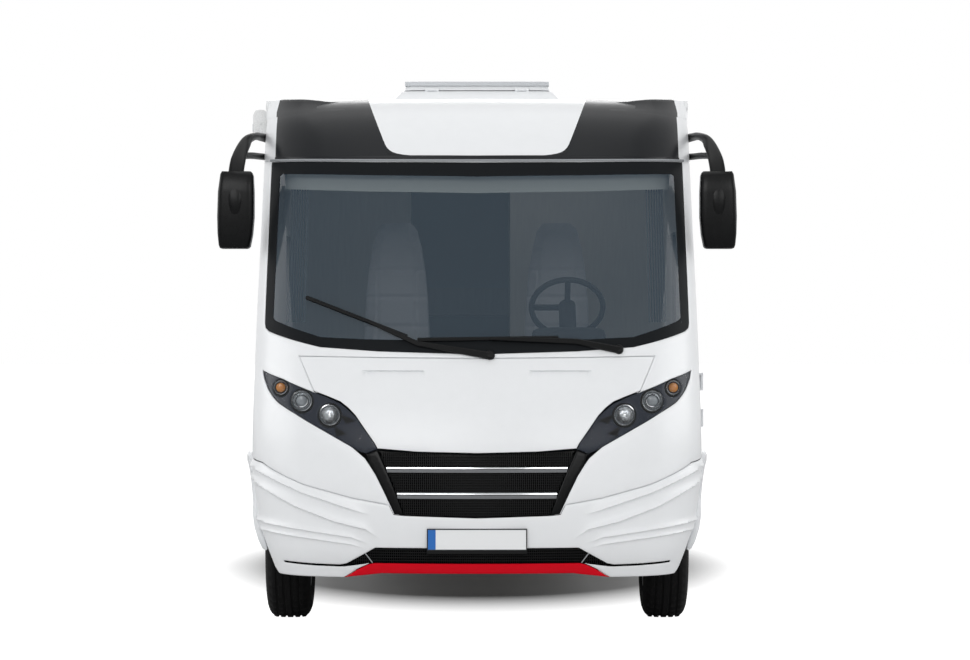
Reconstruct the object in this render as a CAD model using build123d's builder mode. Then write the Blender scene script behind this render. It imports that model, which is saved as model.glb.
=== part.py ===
from build123d import *
from math import sin, cos, radians
import os

# An integrated motorhome on a front-drive van chassis, in millimetres.
# It faces -Y, its left (driver's) side is +X, and it stands on Z = 0.
# Places along the vehicle are given as d, the distance behind the nose.

# Overall sizes
LENGTH = 6990
HALF_WIDTH = 1165
ROOF_Z = 2760
NOSE_Y = -LENGTH / 2
JUNCTION = 1800
REAR_FACE = 6920

# Axles and wheels
FRONT_AXLE = 1000
WHEELBASE = 3800
REAR_AXLE = FRONT_AXLE + WHEELBASE
TRACK_X = 985
TYRE_R = 370
TYRE_W = 235
TREAD_W = 176
BEAD_R = 206
BEAD_W = 194
RIM_WALL = 10
HUB_X = 1045
HUB_R = 62
KINGPIN_X = 825
KINGPIN_R = 34
DAMPER_R = 27
PIN_R = 12
SPINDLE_R = 34
FRONT_ARCH_R = 475
REAR_ARCH_R = 435
LINER = 8
FLARE_RING = 45
FLARE_X = 1210
FLARE_TIP_X = 1130
FLARE_FULL = 900

# Walls and gaps
WALL = 34
SHELL = 40
GLASS = 10
PANE = 8
PANE_LAP = 20
BUMPER_WALL = 30
SKIN = 10
FILM = 6
SEAM = 4
DOOR_GAP = 8
SLIP = 0.3
PIN_CLEAR = 0.06
PAST = 60

# Floor, chassis and what hangs from it
FLOOR_TOP = 760
FLOOR_T = 45
FLOOR_BOTTOM = FLOOR_TOP - FLOOR_T
RAIL_X = 460
RAIL_W = 60
RAIL_H = 185
RAIL_T = 6
RAIL_BOTTOM = FLOOR_BOTTOM - RAIL_H
RAIL_FRONT = 250
RAIL_BACK = 6700
TOW_BOLT_R = 6.5
TOW_BOLTS_D = (6350, 6550)
JACK_PADS_D = (1700, 4300)
JACK_PAD = (100, 80, 20)
SKIRT_T = 25
SKIRT_BOTTOM = 330
SEAM_D = 790

# Bow of the nose in plan: one wide arc, then a corner arc on each side
BOW_R = 2530
BOW_ANGLE = 18.5
BOW_X = BOW_R * sin(radians(BOW_ANGLE))
CORNER_SHARE = 1 - sin(radians(BOW_ANGLE))

# Cab sections: height, half width at the corner, half width at the junction, setback of the nose
MASK_SECTIONS = (
    (276, 1024, 1165, 60),
    (430, 1085, 1165, 8),
    (560, 1130, 1165, 0),
    (920, 1165, 1165, 30),
    (1400, 1160, 1165, 200),
    (2420, 1139, 1165, 628),
)
# Cap sections: the same, and the share of the wall by which the inside lies lower
CAP_SECTIONS = (
    (2420, 1139, 1165, 628, 0),
    (2580, 1138, 1165, 745, 0.4),
    (2690, 1134, 1158, 900, 0.8),
    (2735, 1124, 1140, 1050, 1),
    (ROOF_Z, 1090, 1105, 1230, 1),
)

# Outlines seen from the front, for x >= 0 from the top down
SCREEN = ((0, 2386), (1087, 2390), (1103, 1557), (1078, 1515), (800, 1433), (503, 1412), (0, 1397))
SCREEN_CLEAR = ((0, 2325), (1036, 2340), (1052, 1580), (797, 1483), (557, 1469), (0, 1460))
BONNET = ((0, 1372), (903, 1380), (820, 1213), (676, 1154), (595, 1081), (504, 952), (495, 930), (0, 905))
BONNET_HOLE = (
    (0, 1382), (917, 1391), (830, 1190), (700, 1120), (620, 1050), (530, 920), (505, 880), (0, 880),
)
LAMP = (
    (1110, 1313), (996, 1271), (824, 1203), (682, 1145), (603, 1074), (513, 948), (499, 910),
    (443, 790), (407, 702), (368, 595), (415, 600), (467, 710), (507, 790), (564, 876),
    (630, 931), (813, 1031), (1017, 1148), (1067, 1204), (1100, 1269),
)
GRILLE = ((0, 893), (499, 910), (443, 790), (407, 702), (368, 595), (0, 584))
GRILLE_HOLE = ((0, 900), (503, 920), (447, 790), (411, 702), (372, 595), (372, 560), (0, 560))
BUMPER_TOP = ((0, 580), (368, 591), (418, 596), (441, 642), (627, 674), (874, 738), (1098, 841), (1260, 915))
INTAKE = ((0, 431), (510, 431), (672, 336), (525, 352), (0, 352))
LIP = ((0, 352), (515, 352), (668, 277), (480, 300), (0, 300))
LIP_UNDER = ((0, 352), (515, 352), (668, 277), (668, 200), (0, 200))
CAP_PANEL = (
    (590, ROOF_Z + 10), (476, 2478), (455, 2440), (400, 2424),
    (1066, 2424), (1068, 2600), (1068, ROOF_Z + 10),
)

# Grille bars: height of the middle, half length, thickness
GRILLE_BARS = ((822, 448, 32), (693, 395, 35))
GRILLE_BACK = 20
# Lamps: x, height, radius, distance of the lamp's seat behind the nose
LAMPS = ((746, 1089, 54, 260), (893, 1159, 54, 350), (1007, 1225, 37, 460))
LAMP_DEPTH = 25
HOUSING_INSET = 4
HOUSING_DEPTH = 120
HOUSING_END = 640

# Doors and flaps in the side view: front, back, bottom, top
DRIVER_DOOR = (850, 1640, 910, 2080)
DRIVER_DOOR_BELT = 1400
DRIVER_DOOR_RAKE = 1165
CAB_WINDOW_MARGIN = 70
ENTRANCE_DOOR = (2150, 2850, 735, 2560)
GARAGE_DOOR = (5450, 6450, 775, 1560)
HINGE_OUT = 15
HINGE_R = 9
HINGE_PIN_R = 5
HINGE_LENGTH = 70
HINGE_LUG = 12
DOOR_CORNER_R = 60

# Side windows: front, back, bottom, top
WINDOWS_LEFT = ((2250, 3150, 1480, 2080), (5300, 6300, 1930, 2330))
WINDOWS_RIGHT = ((3000, 3800, 1480, 2080), (5300, 6300, 1930, 2330))
WINDOW_CORNER_R = 70

# Roof hatch
HATCH_D = (1840, 2560)
HATCH_BASE = 446
HATCH_TOP = 405
HATCH_LID_TOP = 392
HATCH_FRAME_Z = 2850
HATCH_TOP_Z = 2905
HATCH_GAP = 5
HATCH_HOLE = 330

# Mirrors and wipers
MIRROR_X = 1262
MIRROR_D = 850
MIRROR_W = 200
MIRROR_T = 130
MIRROR_Z = (1935, 2338)
ARM_Z = 2520
ARM_R = 26
STRUT_R = 17
STRUT_Z = 2442

# Body details
CAP_PANEL_BACK = 1320
ROOF_EDGE = 70
ROOF_EDGE_R = 60
REAR_WALL = 40
REAR_BUMPER_DEPTH = 290
REAR_BUMPER_FRONT = LENGTH - REAR_BUMPER_DEPTH
REAR_BUMPER_R = 60
TAIL_LAMPS = ((1040, 900), (1040, 1240))
TAIL_LAMP_W = 120
TAIL_LAMP_H = 300
TAIL_LAMP_T = 30
HINGE_INSET = 150
HINGE_STRAP = 5
HINGE_SUNK = 12
HINGE_LEAF = 45
HATCH_RIM = 80
# Small hinges of bonnet and hatch: axis d and height, place along x, barrel radius
BONNET_HINGE = (41, 901, 150, 7)
HATCH_HINGE = (1869, 2858, 250, 8)
SMALL_PIN_R = 3
SMALL_BARREL = 50
SMALL_LUG = 12
HATCH_CORNER_R = 60
FLARE_LOW = 560
FLARE_EDGE_R = 18
AWNING_D = (1850, 5600)
AWNING_Z = (2600, 2745)
AWNING_T = 80
AWNING_R = 38
MIRROR_R = 36
ARM_ROOT = (1000, 1250)

# Wheel boxes, cab floor and bulkhead
WHEEL_BOX_X = 830
CAB_FLOOR_X = 640
BULKHEAD_D = 700
BULKHEAD_T = 30
BULKHEAD_TOP = 1320
BULKHEAD_WING = 900
BULKHEAD_X = 1060
HOUSING_BOTTOM = 600
HOUSING_OUT = 1080

# Chassis details
CROSS_MEMBERS_D = (1300, 2200, 3000, 3900, 5000, 5800, 6600)
CROSS_W = 60
CROSS_H = 80
CROSS_Z = 560
BEAM_H = 120
BRACKET_X = 300
BRACKET_Z = (480, 575)
SUBFRAME_D = (850, 1150)
SUBFRAME_Z = 250
SUBFRAME_H = 50
ARM_W = 80
ARM_H = 30
PIN_RISE = 45
KNUCKLE_GAP = 6
DAMPER_Z = 520
HUB_T = 15
TUBE_R = 50
TRAIL = 230
TRAIL_ARM_X = 740
TRAIL_ARM_W = 45

# Tyre and rim details
BEAD_TOP = 222
BULGE_R = 285
SHOULDER_R = 352
SHOULDER = 14
FLANGE = 6
DISC_T = 14
WINDOW_RING = 140
WINDOW_COUNT = 12
WINDOW_R = 22

# Engine bay and underfloor
ENGINE_X = 340
ENGINE_D = (330, 670)
ENGINE_Z = (420, 1010)
ENGINE_R = 50
RADIATOR_X = 380
RADIATOR_H = 300
EXHAUST_X = -250
EXHAUST_Z = 470
EXHAUST_R = 28
EXHAUST_END = 2900
MUFFLER_R = 75
MUFFLER_L = 500
# Tanks: x range, d range, bottom
TANKS = (((480, 1100), (2100, 2900), 480), ((-1100, -480), (3000, 4000), 480))
TANK_R = 60

# Wipers: blade start, blade end, elbow, pivot, each as x and height seen from the front
WIPERS = (
    ((-790, 1690), (-355, 1485), (-560, 1581), (66, 1390)),
    ((-300, 1470), (410, 1480), (55, 1475), (722, 1418)),
)
WIPER_OFF = 32
BLADE_R = 9
WIPER_ARM_R = 8
PIVOT_R = 8

# Cab interior
DASH_Z = (BULKHEAD_TOP, 1440)
DASH_INSET = 75
DASH_BACK = 900
WHEEL_X = 480
WHEEL_D = 1070
WHEEL_Z = 1630
WHEEL_R = 190
WHEEL_TUBE = 15
WHEEL_TILT = 40
COLUMN_R = 45
COLUMN_L = 400
SEAT_X = 440
SEAT_W = 480
SEAT_L = 500
SEAT_D = 1250
SEAT_Z = 1150
SEAT_T = 130
BACK_SHOULDER = 1700
BACK_TOP_W = 300
BACK_TOP = 2140
# Cupboards and bed: x range, d range, height range
FURNITURE = (
    ((200, 1131), (3400, 4340), (760, 2720)),
    ((-1131, -410), (3900, 4340), (760, 2720)),
    ((620, 1131), (2250, 3100), (760, 1180)),
    ((-1131, 1131), (5290, 6880), (1620, 1800)),
)


def y_at(d):
    return NOSE_Y + d


def cab_section(z, half_width, back_half, setback, inset, back):
    """Plan outline of the cab at one height, moved inward by inset."""
    corner_r = (half_width - BOW_X) / CORNER_SHARE
    with BuildSketch(Plane.XY.offset(z)) as section:
        with BuildLine():
            bow = JernArc((0, y_at(setback) + inset), (1, 0), BOW_R - inset, BOW_ANGLE)
            corner = JernArc(bow @ 1, bow % 1, corner_r - inset, 90 - BOW_ANGLE)
            side = Line(corner @ 1, (back_half - inset, y_at(back)))
            Line(side @ 1, (0, y_at(back)))
            mirror(about=Plane.YZ)
        make_face()
    return section.sketch


def mask_block(inset, back=JUNCTION):
    """The cab below the roof cap as one block."""
    rows = MASK_SECTIONS
    with BuildPart() as block:
        for low, high in zip(rows, rows[1:]):
            loft(sections=[cab_section(*low, inset, back), cab_section(*high, inset, back)], ruled=True)
        if inset > 0:
            for row, rise in ((rows[0], -PAST), (rows[-1], PAST)):
                extrude(cab_section(*row, inset, back), amount=rise)
    return block.part


def cap_block(inset, back=JUNCTION):
    """The roof cap over the cab as one block."""
    with BuildPart() as block:
        loft(sections=[cab_section(z - drop * inset, *row, inset, back) for z, *row, drop in CAP_SECTIONS])
        if inset > 0:
            extrude(cab_section(*CAP_SECTIONS[0][:4], inset, back), amount=-PAST)
    return block.part


def mirrored(points):
    """Closes a half outline over the centre line."""
    return [*points, *((-x, z) for x, z in reversed(points) if x > 0)]


def front_prism(points, both=False):
    """Extrudes an outline in the front view through the cab."""
    with BuildPart() as prism:
        with BuildSketch(Plane.XZ):
            with BuildLine():
                Polyline(*points, close=True)
            make_face()
            if both:
                mirror(about=Plane.YZ)
        extrude(amount=-NOSE_Y + PAST)
    return prism.part


def side_prism(points, side, inner=600, outer=1400):
    """Extrudes an outline in the side view, given as (d, z), through one side."""
    with BuildPart() as prism:
        with BuildSketch(Plane.YZ.offset(side * inner)):
            with BuildLine():
                Polyline(*((y_at(d), z) for d, z in points), close=True)
            make_face()
        extrude(amount=side * (outer - inner))
    return prism.part


def arch_cut(axle, radius):
    """The round wheel openings of one axle, both sides."""
    with BuildPart() as cut:
        with BuildSketch(Plane.YZ.offset(-1400)):
            with Locations((y_at(axle), TYRE_R)):
                Circle(radius)
        extrude(amount=800)
        mirror(about=Plane.YZ)
    return cut.part


def arch_disc(axle, radius, low):
    """A disc about an axle in the side view without what lies under a height, for use in a sketch."""
    with Locations((y_at(axle), TYRE_R)):
        Circle(radius)
    with Locations((y_at(axle), low - ROOF_Z / 2)):
        Rectangle(LENGTH, ROOF_Z, mode=Mode.SUBTRACT)


def box(x, d, z):
    """A box given by its ranges along x, d and z, for use inside a part."""
    with Locations(((x[0] + x[1]) / 2, y_at((d[0] + d[1]) / 2), (z[0] + z[1]) / 2)):
        Box(x[1] - x[0], d[1] - d[0], z[1] - z[0])


def finish(piece, name):
    piece.part.label = name
    export_step(piece.part, f"parts/{name}.step")


UPRIGHT = (Align.CENTER, Align.CENTER, Align.MIN)
os.makedirs("parts", exist_ok=True)

mask_outer = mask_block(0)
mask_inner = mask_block(SHELL, JUNCTION + PAST)
front_arch = arch_cut(FRONT_AXLE, FRONT_ARCH_R)
rear_arch = arch_cut(REAR_AXLE, REAR_ARCH_R)
below_gap = front_prism(mirrored([*BUMPER_TOP, (1260, 100), (0, 100)]))
above_gap = front_prism(mirrored([(x, z + SEAM) for x, z in BUMPER_TOP] + [(1260, 100), (0, 100)]))

# The seam between mask and cab sides follows the raked pillar, in the side view
SIDE_SEAM = ((SEAM_D, 700), (SEAM_D, DRIVER_DOOR_BELT), (1262, 2420), (1262, 2440), (1900, 2440), (1900, 700))


def cross_pin(x, d, z, radius, length):
    """A round bar along x."""
    with Locations(Plane((x, y_at(d), z), z_dir=(1, 0, 0))):
        Cylinder(radius, length)


def small_barrels(hinge, rise, back):
    """Barrels of a pair of small hinges along x, each with a tab to the lid."""
    d, z, place, radius = hinge
    with BuildPart() as barrels:
        for x in (place, -place):
            cross_pin(x, d, z, radius, SMALL_BARREL)
            tab_x = (x - SMALL_BARREL / 2, x + SMALL_BARREL / 2)
            box(tab_x, (d + back[0], d + back[1]), (z + rise[0], z + rise[1]))
            with Locations(Plane((x, y_at(d), z), z_dir=(1, 0, 0))):
                Cylinder(SMALL_PIN_R + PIN_CLEAR, SMALL_BARREL, mode=Mode.SUBTRACT)
    return barrels.part


def small_pins(hinge, rise, back):
    """Pins and lugs that carry those barrels."""
    d, z, place, radius = hinge
    with BuildPart() as pins:
        for x in (place, -place):
            cross_pin(x, d, z, SMALL_PIN_R, SMALL_BARREL + 2 * (SLIP + SMALL_LUG))
            for end in (1, -1):
                lug_x = x + end * (SMALL_BARREL / 2 + SLIP + SMALL_LUG / 2)
                cross_pin(lug_x, d, z, radius, SMALL_LUG)
                span_x = (lug_x - SMALL_LUG / 2, lug_x + SMALL_LUG / 2)
                box(span_x, (d + back[0], d + back[1]), (z + rise[0], z + rise[1]))
    return pins.part


# Front mask: pillars, cowl and cheeks, with openings for screen, bonnet, lamps and grille
screen_prism = front_prism(mirrored(SCREEN))
screen_inner = mask_block(GLASS, JUNCTION + PAST)
with BuildPart() as rebate:
    add(mask_outer)
    add(screen_inner, mode=Mode.SUBTRACT)
    add(screen_prism, mode=Mode.INTERSECT)

with BuildPart() as front_mask:
    add(mask_outer)
    add(mask_inner, mode=Mode.SUBTRACT)
    add(above_gap, mode=Mode.SUBTRACT)
    for side in (1, -1):
        add(side_prism(SIDE_SEAM, side), mode=Mode.SUBTRACT)
    add(front_arch, mode=Mode.SUBTRACT)
    add(front_prism(mirrored(SCREEN_CLEAR)), mode=Mode.SUBTRACT)
    add(front_prism(mirrored(BONNET_HOLE)), mode=Mode.SUBTRACT)
    add(front_prism(mirrored(GRILLE_HOLE)), mode=Mode.SUBTRACT)
    add(front_prism(LAMP, both=True), mode=Mode.SUBTRACT)
    add(rebate.part, mode=Mode.SUBTRACT)
finish(front_mask, "front_mask")

# Windscreen: a bent pane in the mask's rebate
with BuildPart() as windscreen:
    add(mask_outer)
    add(screen_inner, mode=Mode.SUBTRACT)
    pane = [(x - SLIP * (x > 0), z - SLIP * (z > SCREEN[2][1])) for x, z in SCREEN]
    add(front_prism(mirrored(pane)), mode=Mode.INTERSECT)
finish(windscreen, "windscreen")

# Bonnet: a moulded skin that tilts forward about its lower edge
with BuildPart() as bonnet:
    add(mask_outer)
    add(mask_block(SKIN, JUNCTION + PAST), mode=Mode.SUBTRACT)
    add(front_prism(mirrored(BONNET)), mode=Mode.INTERSECT)
    add(small_barrels(BONNET_HINGE, (0, 24), (-5, 2)))
finish(bonnet, "bonnet")

# Bumper below the gap, its red lip, and the black mesh in the intake
bumper_inner = mask_block(BUMPER_WALL, JUNCTION + PAST)
with BuildPart() as bumper:
    add(mask_outer)
    add(bumper_inner, mode=Mode.SUBTRACT)
    add(below_gap, mode=Mode.INTERSECT)
    with Locations((0, y_at(0), 0)):
        Box(3 * HALF_WIDTH, 2 * (SEAM_D - SEAM), ROOF_Z, mode=Mode.INTERSECT)
    add(front_arch, mode=Mode.SUBTRACT)
    add(front_prism(mirrored(INTAKE)), mode=Mode.SUBTRACT)
    add(front_prism(mirrored(LIP_UNDER)), mode=Mode.SUBTRACT)
finish(bumper, "bumper")

with BuildPart() as front_lip:
    add(mask_outer)
    add(bumper_inner, mode=Mode.SUBTRACT)
    add(front_prism(mirrored(LIP)), mode=Mode.INTERSECT)
finish(front_lip, "front_lip")

# Grille: recessed mesh plates, upper and lower, and two bright bars
grille_face = mask_block(GRILLE_BACK, JUNCTION + PAST)
with BuildPart() as grille:
    add(grille_face)
    add(mask_inner, mode=Mode.SUBTRACT)
    add(front_prism(mirrored(GRILLE)), mode=Mode.INTERSECT)
with BuildPart() as intake_mesh:
    add(grille_face)
    add(bumper_inner, mode=Mode.SUBTRACT)
    add(front_prism(mirrored(INTAKE)), mode=Mode.INTERSECT)
with BuildPart() as grilles:
    add(grille.part)
    add(intake_mesh.part)
    add(small_pins(BONNET_HINGE, (-14, 3), (0, 19)))
finish(grilles, "grilles")

with BuildPart() as bar_blanks:
    for z, half, height in GRILLE_BARS:
        with Locations((0, y_at(0), z)):
            Box(2 * half, FRONT_AXLE, height)

with BuildPart() as grille_bars:
    add(mask_outer)
    add(grille_face, mode=Mode.SUBTRACT)
    add(bar_blanks.part, mode=Mode.INTERSECT)
finish(grille_bars, "grille_bars")

# Headlamp housings with round pockets, and the lamps in them
with BuildPart() as headlamp_housings:
    add(mask_block(HOUSING_INSET))
    add(mask_block(HOUSING_DEPTH, JUNCTION + PAST), mode=Mode.SUBTRACT)
    add(front_prism(LAMP, both=True), mode=Mode.INTERSECT)
    with Locations((0, y_at(0), ROOF_Z / 2)):
        Box(3 * HALF_WIDTH, 2 * HOUSING_END, ROOF_Z, mode=Mode.INTERSECT)
    for x, z, radius, seat in LAMPS:
        for side in (1, -1):
            with BuildSketch(Plane.XZ.offset(-y_at(seat))):
                with Locations((side * x, z)):
                    Circle(radius + SLIP)
            extrude(amount=seat + PAST, mode=Mode.SUBTRACT)
finish(headlamp_housings, "headlamp_housings")

with BuildPart() as headlamps:
    for x, z, radius, seat in LAMPS:
        for side in (1, -1):
            with BuildSketch(Plane.XZ.offset(-y_at(seat))):
                with Locations((side * x, z)):
                    Circle(radius)
            extrude(amount=LAMP_DEPTH)
finish(headlamps, "headlamps")

# Roof cap, and the dark panels let into it beside its white middle
cap_outer = cap_block(0)
with BuildPart() as cap_panels:
    add(cap_outer)
    add(cap_block(FILM, JUNCTION + PAST), mode=Mode.SUBTRACT)
    add(front_prism(CAP_PANEL, both=True), mode=Mode.INTERSECT)
    with Locations((0, y_at(0), ROOF_Z)):
        Box(3 * HALF_WIDTH, 2 * CAP_PANEL_BACK, ROOF_Z, mode=Mode.INTERSECT)
finish(cap_panels, "cap_panels")

with BuildPart() as front_cap:
    add(cap_outer)
    add(cap_block(SHELL, JUNCTION + PAST), mode=Mode.SUBTRACT)
    add(cap_panels.part, mode=Mode.SUBTRACT)
finish(front_cap, "front_cap")


def hinge_z(bottom, top):
    """Heights of a door's two hinges."""
    return (bottom + HINGE_INSET, top - HINGE_INSET)


def hinge_barrels(side, d, heights):
    """The door's half of its outside hinges: a strap on the door and a barrel on the axis."""
    with BuildPart() as hinges:
        for z in heights:
            with Locations((side * (HALF_WIDTH + HINGE_OUT), y_at(d), z)):
                Cylinder(HINGE_R, HINGE_LENGTH)
                Cylinder(HINGE_PIN_R + PIN_CLEAR, HINGE_LENGTH, mode=Mode.SUBTRACT)
            strap_x = HALF_WIDTH + (HINGE_STRAP - HINGE_SUNK) / 2
            with Locations((side * strap_x, y_at(d + HINGE_LEAF / 2 + DOOR_GAP), z)):
                Box(HINGE_STRAP + HINGE_SUNK, HINGE_LEAF, HINGE_LENGTH)
            arm = (HINGE_R + HINGE_PIN_R + PIN_CLEAR) / 2
            with Locations((side * (HALF_WIDTH + HINGE_OUT / 2), y_at(d + arm), z)):
                Box(HINGE_OUT + HINGE_STRAP, HINGE_R - HINGE_PIN_R - PIN_CLEAR, HINGE_LENGTH)
    return hinges.part


def hinge_pins(side, d, heights):
    """The body's half: two lugs and the pin between them."""
    with BuildPart() as pins:
        for z in heights:
            with Locations((side * (HALF_WIDTH + HINGE_OUT), y_at(d), z)):
                Cylinder(HINGE_PIN_R, HINGE_LENGTH + 2 * (HINGE_LUG + SLIP))
            for end in (1, -1):
                lug_z = z + end * (HINGE_LENGTH / 2 + SLIP + HINGE_LUG / 2)
                with Locations((side * (HALF_WIDTH + HINGE_OUT), y_at(d), lug_z)):
                    Cylinder(HINGE_R, HINGE_LUG)
                with Locations((side * (HALF_WIDTH + HINGE_OUT / 2), y_at(d - HINGE_LEAF / 2), lug_z)):
                    Box(HINGE_OUT, HINGE_LEAF, HINGE_LUG)
                base = (HINGE_LEAF + DOOR_GAP) / 2
                with Locations((side * (HALF_WIDTH - HINGE_SUNK / 2), y_at(d - base), lug_z)):
                    Box(HINGE_SUNK, HINGE_LEAF - DOOR_GAP, HINGE_LUG)
    return pins.part


def rounded_cut(front, back, bottom, top, radius, side, inner, outer):
    """A rounded panel in the side view, between two distances from the middle."""
    with BuildPart() as cut:
        with BuildSketch(Plane.YZ.offset(side * inner)):
            with Locations((y_at((front + back) / 2), (bottom + top) / 2)):
                RectangleRounded(back - front, top - bottom, radius)
        extrude(amount=side * (outer - inner))
    return cut.part


def wider(row, by):
    front, back, bottom, top = row
    return (front - by, back + by, bottom - by, top + by)


# Cab sides behind the pillars; the left one has the driver's door
front, back, bottom, top = DRIVER_DOOR
door_points = (
    (front, bottom), (back, bottom), (back, top), (DRIVER_DOOR_RAKE, top), (front, DRIVER_DOOR_BELT)
)
gap_points = (
    (front - DOOR_GAP, bottom - DOOR_GAP), (back + DOOR_GAP, bottom - DOOR_GAP),
    (back + DOOR_GAP, top + DOOR_GAP), (DRIVER_DOOR_RAKE - DOOR_GAP, top + DOOR_GAP),
    (front - DOOR_GAP, DRIVER_DOOR_BELT + DOOR_GAP / 2),
)
m = CAB_WINDOW_MARGIN
glass_points = (
    (front + m, DRIVER_DOOR_BELT + m), (back - m, DRIVER_DOOR_BELT + m),
    (back - m, top - m), (DRIVER_DOOR_RAKE + m / 2, top - m),
)
n = m - PANE_LAP
pane_points = (
    (front + n, DRIVER_DOOR_BELT + n), (back - n, DRIVER_DOOR_BELT + n),
    (back - n, top - n), (DRIVER_DOOR_RAKE + n / 2, top - n),
)
door_hinges = hinge_z(bottom, DRIVER_DOOR_BELT)
pane_inner = mask_block(PANE, JUNCTION + PAST)


def cab_pane(side, points):
    """A pane let into the cab's side."""
    with BuildPart() as cut:
        add(mask_outer)
        add(pane_inner, mode=Mode.SUBTRACT)
        add(side_prism(points, side), mode=Mode.INTERSECT)
    return cut.part


def cab_side(side):
    with BuildPart() as panel:
        add(mask_outer)
        add(mask_inner, mode=Mode.SUBTRACT)
        add(side_prism(SIDE_SEAM, side), mode=Mode.INTERSECT)
        add(front_arch, mode=Mode.SUBTRACT)
        with Locations((0, y_at(JUNCTION), FLOOR_BOTTOM / 2)):
            Box(3 * HALF_WIDTH, LENGTH, FLOOR_BOTTOM, mode=Mode.SUBTRACT)
        if side > 0:
            add(side_prism(gap_points, side), mode=Mode.SUBTRACT)
            add(hinge_pins(side, front - DOOR_GAP / 2, door_hinges))
        else:
            add(side_prism(glass_points, side), mode=Mode.SUBTRACT)
            add(cab_pane(side, pane_points), mode=Mode.SUBTRACT)
    return panel


cab_side_left = cab_side(1)
finish(cab_side_left, "cab_side_left")
cab_side_right = cab_side(-1)
finish(cab_side_right, "cab_side_right")

with BuildPart() as driver_door:
    add(mask_outer)
    add(mask_inner, mode=Mode.SUBTRACT)
    add(side_prism(door_points, 1), mode=Mode.INTERSECT)
    add(side_prism(glass_points, 1), mode=Mode.SUBTRACT)
    add(cab_pane(1, pane_points), mode=Mode.SUBTRACT)
    add(hinge_barrels(1, front - DOOR_GAP / 2, door_hinges))
finish(driver_door, "driver_door")

with BuildPart() as driver_door_glass:
    add(cab_pane(1, pane_points))
finish(driver_door_glass, "driver_door_glass")

# Flat sandwich walls with their windows and doors
WALL_TOP = ROOF_Z - ROOF_EDGE
wall_back = REAR_FACE - REAR_WALL
doors = {1: (GARAGE_DOOR,), -1: (ENTRANCE_DOOR, GARAGE_DOOR)}
windows = {1: WINDOWS_LEFT, -1: WINDOWS_RIGHT}


def side_wall(side):
    inner = HALF_WIDTH - WALL
    with BuildPart() as wall:
        box(sorted((side * inner, side * HALF_WIDTH)), (JUNCTION, wall_back), (FLOOR_BOTTOM, WALL_TOP))
        add(rear_arch, mode=Mode.SUBTRACT)
        for row in windows[side]:
            add(rounded_cut(*row, WINDOW_CORNER_R, side, inner - PAST, HALF_WIDTH + PAST), mode=Mode.SUBTRACT)
        for row in doors[side]:
            cut = rounded_cut(*wider(row, DOOR_GAP), DOOR_CORNER_R, side, inner - PAST, HALF_WIDTH + PAST)
            add(cut, mode=Mode.SUBTRACT)
        for row in doors[side]:
            add(hinge_pins(side, row[0] - DOOR_GAP / 2, hinge_z(*row[2:])))
    return wall


side_wall_left = side_wall(1)
finish(side_wall_left, "side_wall_left")
side_wall_right = side_wall(-1)
finish(side_wall_right, "side_wall_right")


def flat_door(side, row):
    with BuildPart() as door:
        add(rounded_cut(*row, DOOR_CORNER_R - DOOR_GAP, side, HALF_WIDTH - WALL, HALF_WIDTH))
        add(hinge_barrels(side, row[0] - DOOR_GAP / 2, hinge_z(*row[2:])))
    return door


for name, side, row in (
    ("entrance_door", -1, ENTRANCE_DOOR),
    ("garage_door_left", 1, GARAGE_DOOR),
    ("garage_door_right", -1, GARAGE_DOOR),
):
    finish(flat_door(side, row), name)

with BuildPart() as side_windows:
    for side, rows in windows.items():
        for row in rows:
            radius = WINDOW_CORNER_R + PANE_LAP
            add(rounded_cut(*wider(row, PANE_LAP), radius, side, HALF_WIDTH, HALF_WIDTH + PANE))
    add(cab_pane(-1, pane_points))
finish(side_windows, "side_windows")

# Roof with rounded edges, and the rear wall
with BuildPart() as roof:
    with BuildSketch(Plane.XZ.offset(-y_at(wall_back))):
        with Locations((0, (ROOF_Z + WALL_TOP) / 2)):
            Rectangle(2 * HALF_WIDTH, ROOF_EDGE)
        top_corners = vertices().group_by(Axis.Y)[-1]
        fillet(top_corners, ROOF_EDGE_R)
        with Locations((0, WALL_TOP - WALL / 2)):
            Rectangle(2 * (HALF_WIDTH - WALL), 2 * ROOF_EDGE - WALL, mode=Mode.SUBTRACT)
    extrude(amount=wall_back - JUNCTION)
    with Locations((0, y_at(sum(HATCH_D) / 2), ROOF_Z)):
        Box(2 * HATCH_HOLE, HATCH_D[1] - HATCH_D[0] - 2 * HATCH_RIM, 4 * ROOF_EDGE, mode=Mode.SUBTRACT)
finish(roof, "roof")

with BuildPart() as rear_wall:
    box((-HALF_WIDTH, HALF_WIDTH), (wall_back, REAR_FACE), (FLOOR_BOTTOM, ROOF_Z))
    fillet(edges().filter_by(Axis.Z).group_by(Axis.Y)[-1], REAR_WALL - SEAM)
finish(rear_wall, "rear_wall")

with BuildPart() as rear_bumper:
    box((-HALF_WIDTH, HALF_WIDTH), (REAR_BUMPER_FRONT, LENGTH), (SKIRT_BOTTOM, FLOOR_BOTTOM))
    fillet(edges().filter_by(Axis.Z).group_by(Axis.Y)[-1], REAR_BUMPER_R)
    fillet(edges().filter_by(Axis.X).group_by(Axis.Y)[-1].group_by(Axis.Z)[-1], REAR_BUMPER_R / 3)
    hollow_d = LENGTH - BUMPER_WALL - REAR_BUMPER_FRONT
    with Locations((0, y_at(REAR_BUMPER_FRONT), SKIRT_BOTTOM - BUMPER_WALL)):
        hollow_h = FLOOR_BOTTOM - SKIRT_BOTTOM
        Box(2 * (HALF_WIDTH - BUMPER_WALL), 2 * hollow_d, 2 * hollow_h, mode=Mode.SUBTRACT)
finish(rear_bumper, "rear_bumper")

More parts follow.
